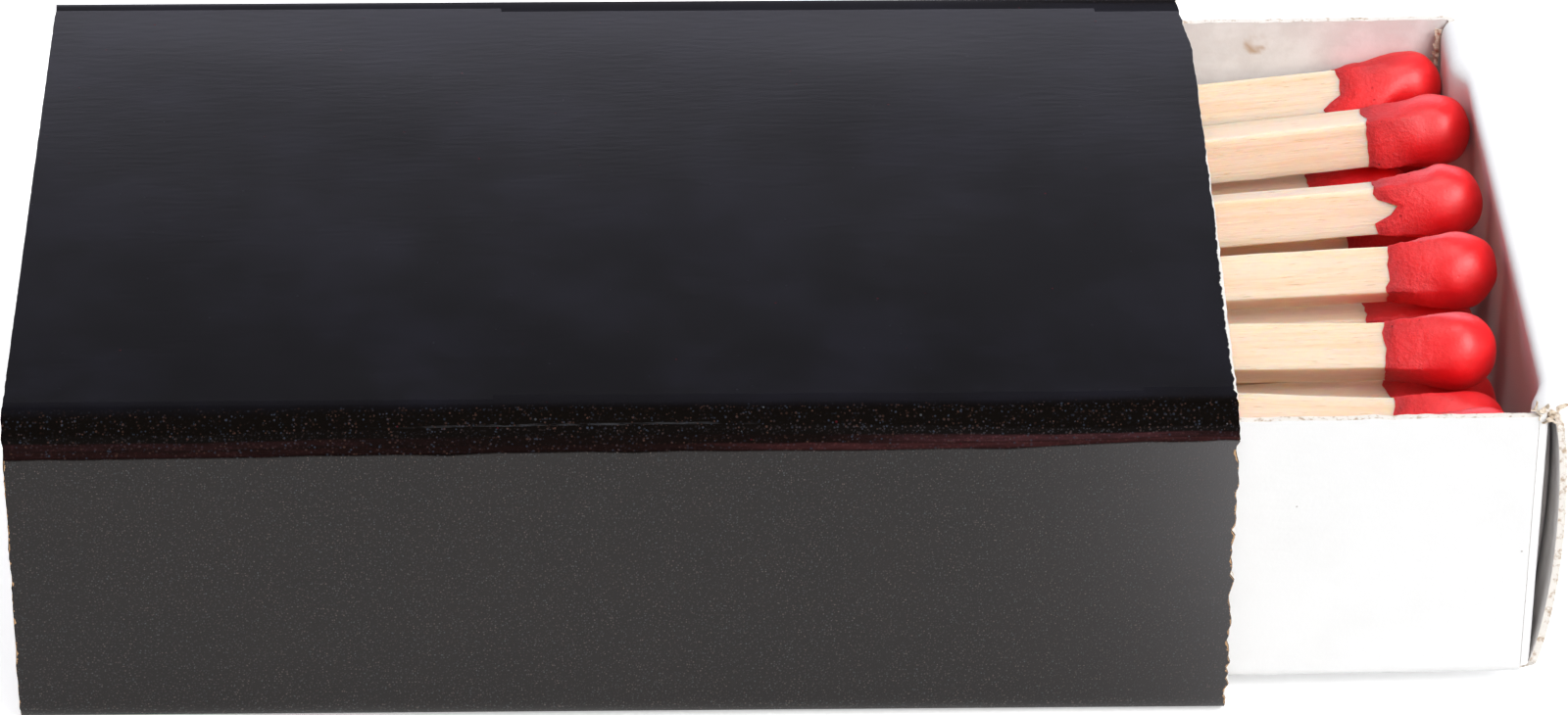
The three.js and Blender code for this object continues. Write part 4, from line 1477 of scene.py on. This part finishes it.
@dataclass
class MatchBundle:
    """All the matches in the tray, found by their nodes' names."""

    seed: int = 400
    tongue_match: tuple[Layer, int] = (Layer.TOP, 3)
    tongue_depth: float = 1.35
    run_match: tuple[Layer, int] = (Layer.TOP, 1)
    run_back: float = 0.85

    def matches(self) -> list[Match]:
        """One Match for each splint or fused match that the frame holds."""
        found = []
        names = set(bpy.data.objects.keys())
        for layer in Layer:
            number = 1
            while True:
                pair = [f"{layer.value}_splint_{number}", f"{layer.value}_head_{number}"]
                whole = [f"{layer.value}_match_{number}"]
                nodes = pair if pair[0] in names else whole
                if nodes[0] not in names:
                    break
                name = f"{layer.value}_stick_{number}"
                fine = layer in (Layer.TOP, Layer.SECOND)
                tongue = self.tongue_depth * ((layer, number) == self.tongue_match)
                run_back = self.run_back * ((layer, number) == self.run_match)
                seed = self.seed + 10 * len(found)
                found.append(Match(name, nodes, seed, fine, tongue=tongue, run_back=run_back))
                number += 1
        return found

    def build(self) -> None:
        """Makes every match."""
        for match in self.matches():
            match.build()


# The studio


@dataclass
class Studio:
    """White floor, soft lamps and the camera at the photograph's view."""

    image_width: int = 1600
    focal_pixels: float = 6916.0
    sensor: float = 36.0
    camera_down: float = 33.203
    camera_turn: float = -1.4725
    camera_roll: float = -0.418
    camera_offset: tuple[float, float, float] = (-7.405, -6.048, 313.177)
    floor_size: float = 6000.0
    world_strength: float = 0.12
    floor_drop: float = 0.06

    def camera(self) -> None:
        """Camera whose axes are the row frame's, turned, tipped down and rolled, then moved back."""
        turn, down, roll = (math.radians(a) for a in (self.camera_turn, self.camera_down, self.camera_roll))
        right = np.array([math.cos(turn), math.sin(turn), 0.0])
        ahead = np.array([-math.sin(turn), math.cos(turn), 0.0])
        sky = np.array([0.0, 0.0, 1.0])
        forward = ahead * math.cos(down) - sky * math.sin(down)
        up = ahead * math.sin(down) + sky * math.cos(down)
        rolled_right = right * math.cos(roll) - up * math.sin(roll)
        rolled_up = right * math.sin(roll) + up * math.cos(roll)
        axes = np.stack([rolled_right, rolled_up, forward])
        place = -axes.T @ np.array(self.camera_offset) * MM
        data = bpy.data.cameras.new("photo_camera")
        data.sensor_width = self.sensor
        data.lens = self.sensor * self.focal_pixels / self.image_width
        data.clip_start = 0.01
        data.clip_end = 100.0
        camera = bpy.data.objects.new("photo_camera", data)
        world = np.eye(4)
        world[:3, :3] = np.column_stack([rolled_right, rolled_up, -forward])
        world[:3, 3] = place
        camera.matrix_world = Matrix(world.tolist())
        bpy.context.scene.collection.objects.link(camera)
        bpy.context.scene.camera = camera

    def lamp(
        self, name: str, place: tuple[float, float, float], aim: tuple[float, float, float],
        size: tuple[float, float], power: float, colour: tuple[float, float, float] = (1.0, 1.0, 1.0),
    ) -> None:
        """A rectangular softbox: place, aim and size in millimetres, power in watts."""
        data = bpy.data.lights.new(name, "AREA")
        data.shape = "RECTANGLE"
        data.size, data.size_y = size[0] * MM, size[1] * MM
        data.energy = power
        data.color = colour
        lamp = bpy.data.objects.new(name, data)
        where = Matrix.Translation(np.array(place) * MM)
        towards = Vector(aim) - Vector(place)
        lamp.matrix_world = where @ towards.to_track_quat("-Z", "Y").to_matrix().to_4x4()
        lamp.visible_camera = False
        bpy.context.scene.collection.objects.link(lamp)

    def floor(self) -> None:
        """A large flat floor just under the lowest point of the sleeve's wavy underside."""
        half = self.floor_size / 2.0 * MM
        level = -self.floor_drop * MM
        mesh = bpy.data.meshes.new("studio_floor")
        corners = [(-half, -half, level), (half, -half, level), (half, half, level), (-half, half, level)]
        mesh.from_pydata(corners, [], [(0, 1, 2, 3)])
        mesh.materials.append(PaleFloor().material())
        floor = bpy.data.objects.new("studio_floor", mesh)
        bpy.context.scene.collection.objects.link(floor)

    def build(self) -> None:
        """Sets the view transform, the world, the lamps, the floor and the camera."""
        scene = bpy.context.scene
        scene.view_settings.view_transform = "Standard"
        world = bpy.data.worlds.new("studio_world")
        world.use_nodes = True
        backdrop = world.node_tree.nodes["Background"]
        backdrop.inputs["Color"].default_value = tint(0.97, 0.98, 1.0)
        backdrop.inputs["Strength"].default_value = self.world_strength
        scene.world = world
        self.lamp("key_softbox", (330.0, -330.0, 450.0), (10.0, 0.0, 8.0), (320.0, 320.0), 3.2)
        self.lamp("front_softbox", (160.0, -640.0, 430.0), (0.0, 0.0, 8.0), (500.0, 500.0), 1.7)
        self.lamp("top_softbox", (-40.0, 40.0, 640.0), (0.0, 0.0, 8.0), (300.0, 260.0), 1.4)
        self.lamp("rear_card", (0.0, 80.0, 28.5), (0.0, 0.0, 28.5), (320.0, 53.0), 0.14, (0.94, 0.93, 1.1))
        self.floor()
        self.camera()


def main() -> None:
    """Loads the frame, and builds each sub-assembly and the studio."""
    logging.basicConfig(level=logging.INFO, format="%(name)s: %(message)s")
    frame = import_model()
    Studio().build()
    Sleeve().build()
    Tray().build()
    MatchBundle().build()


if __name__ == "__main__":
    main()
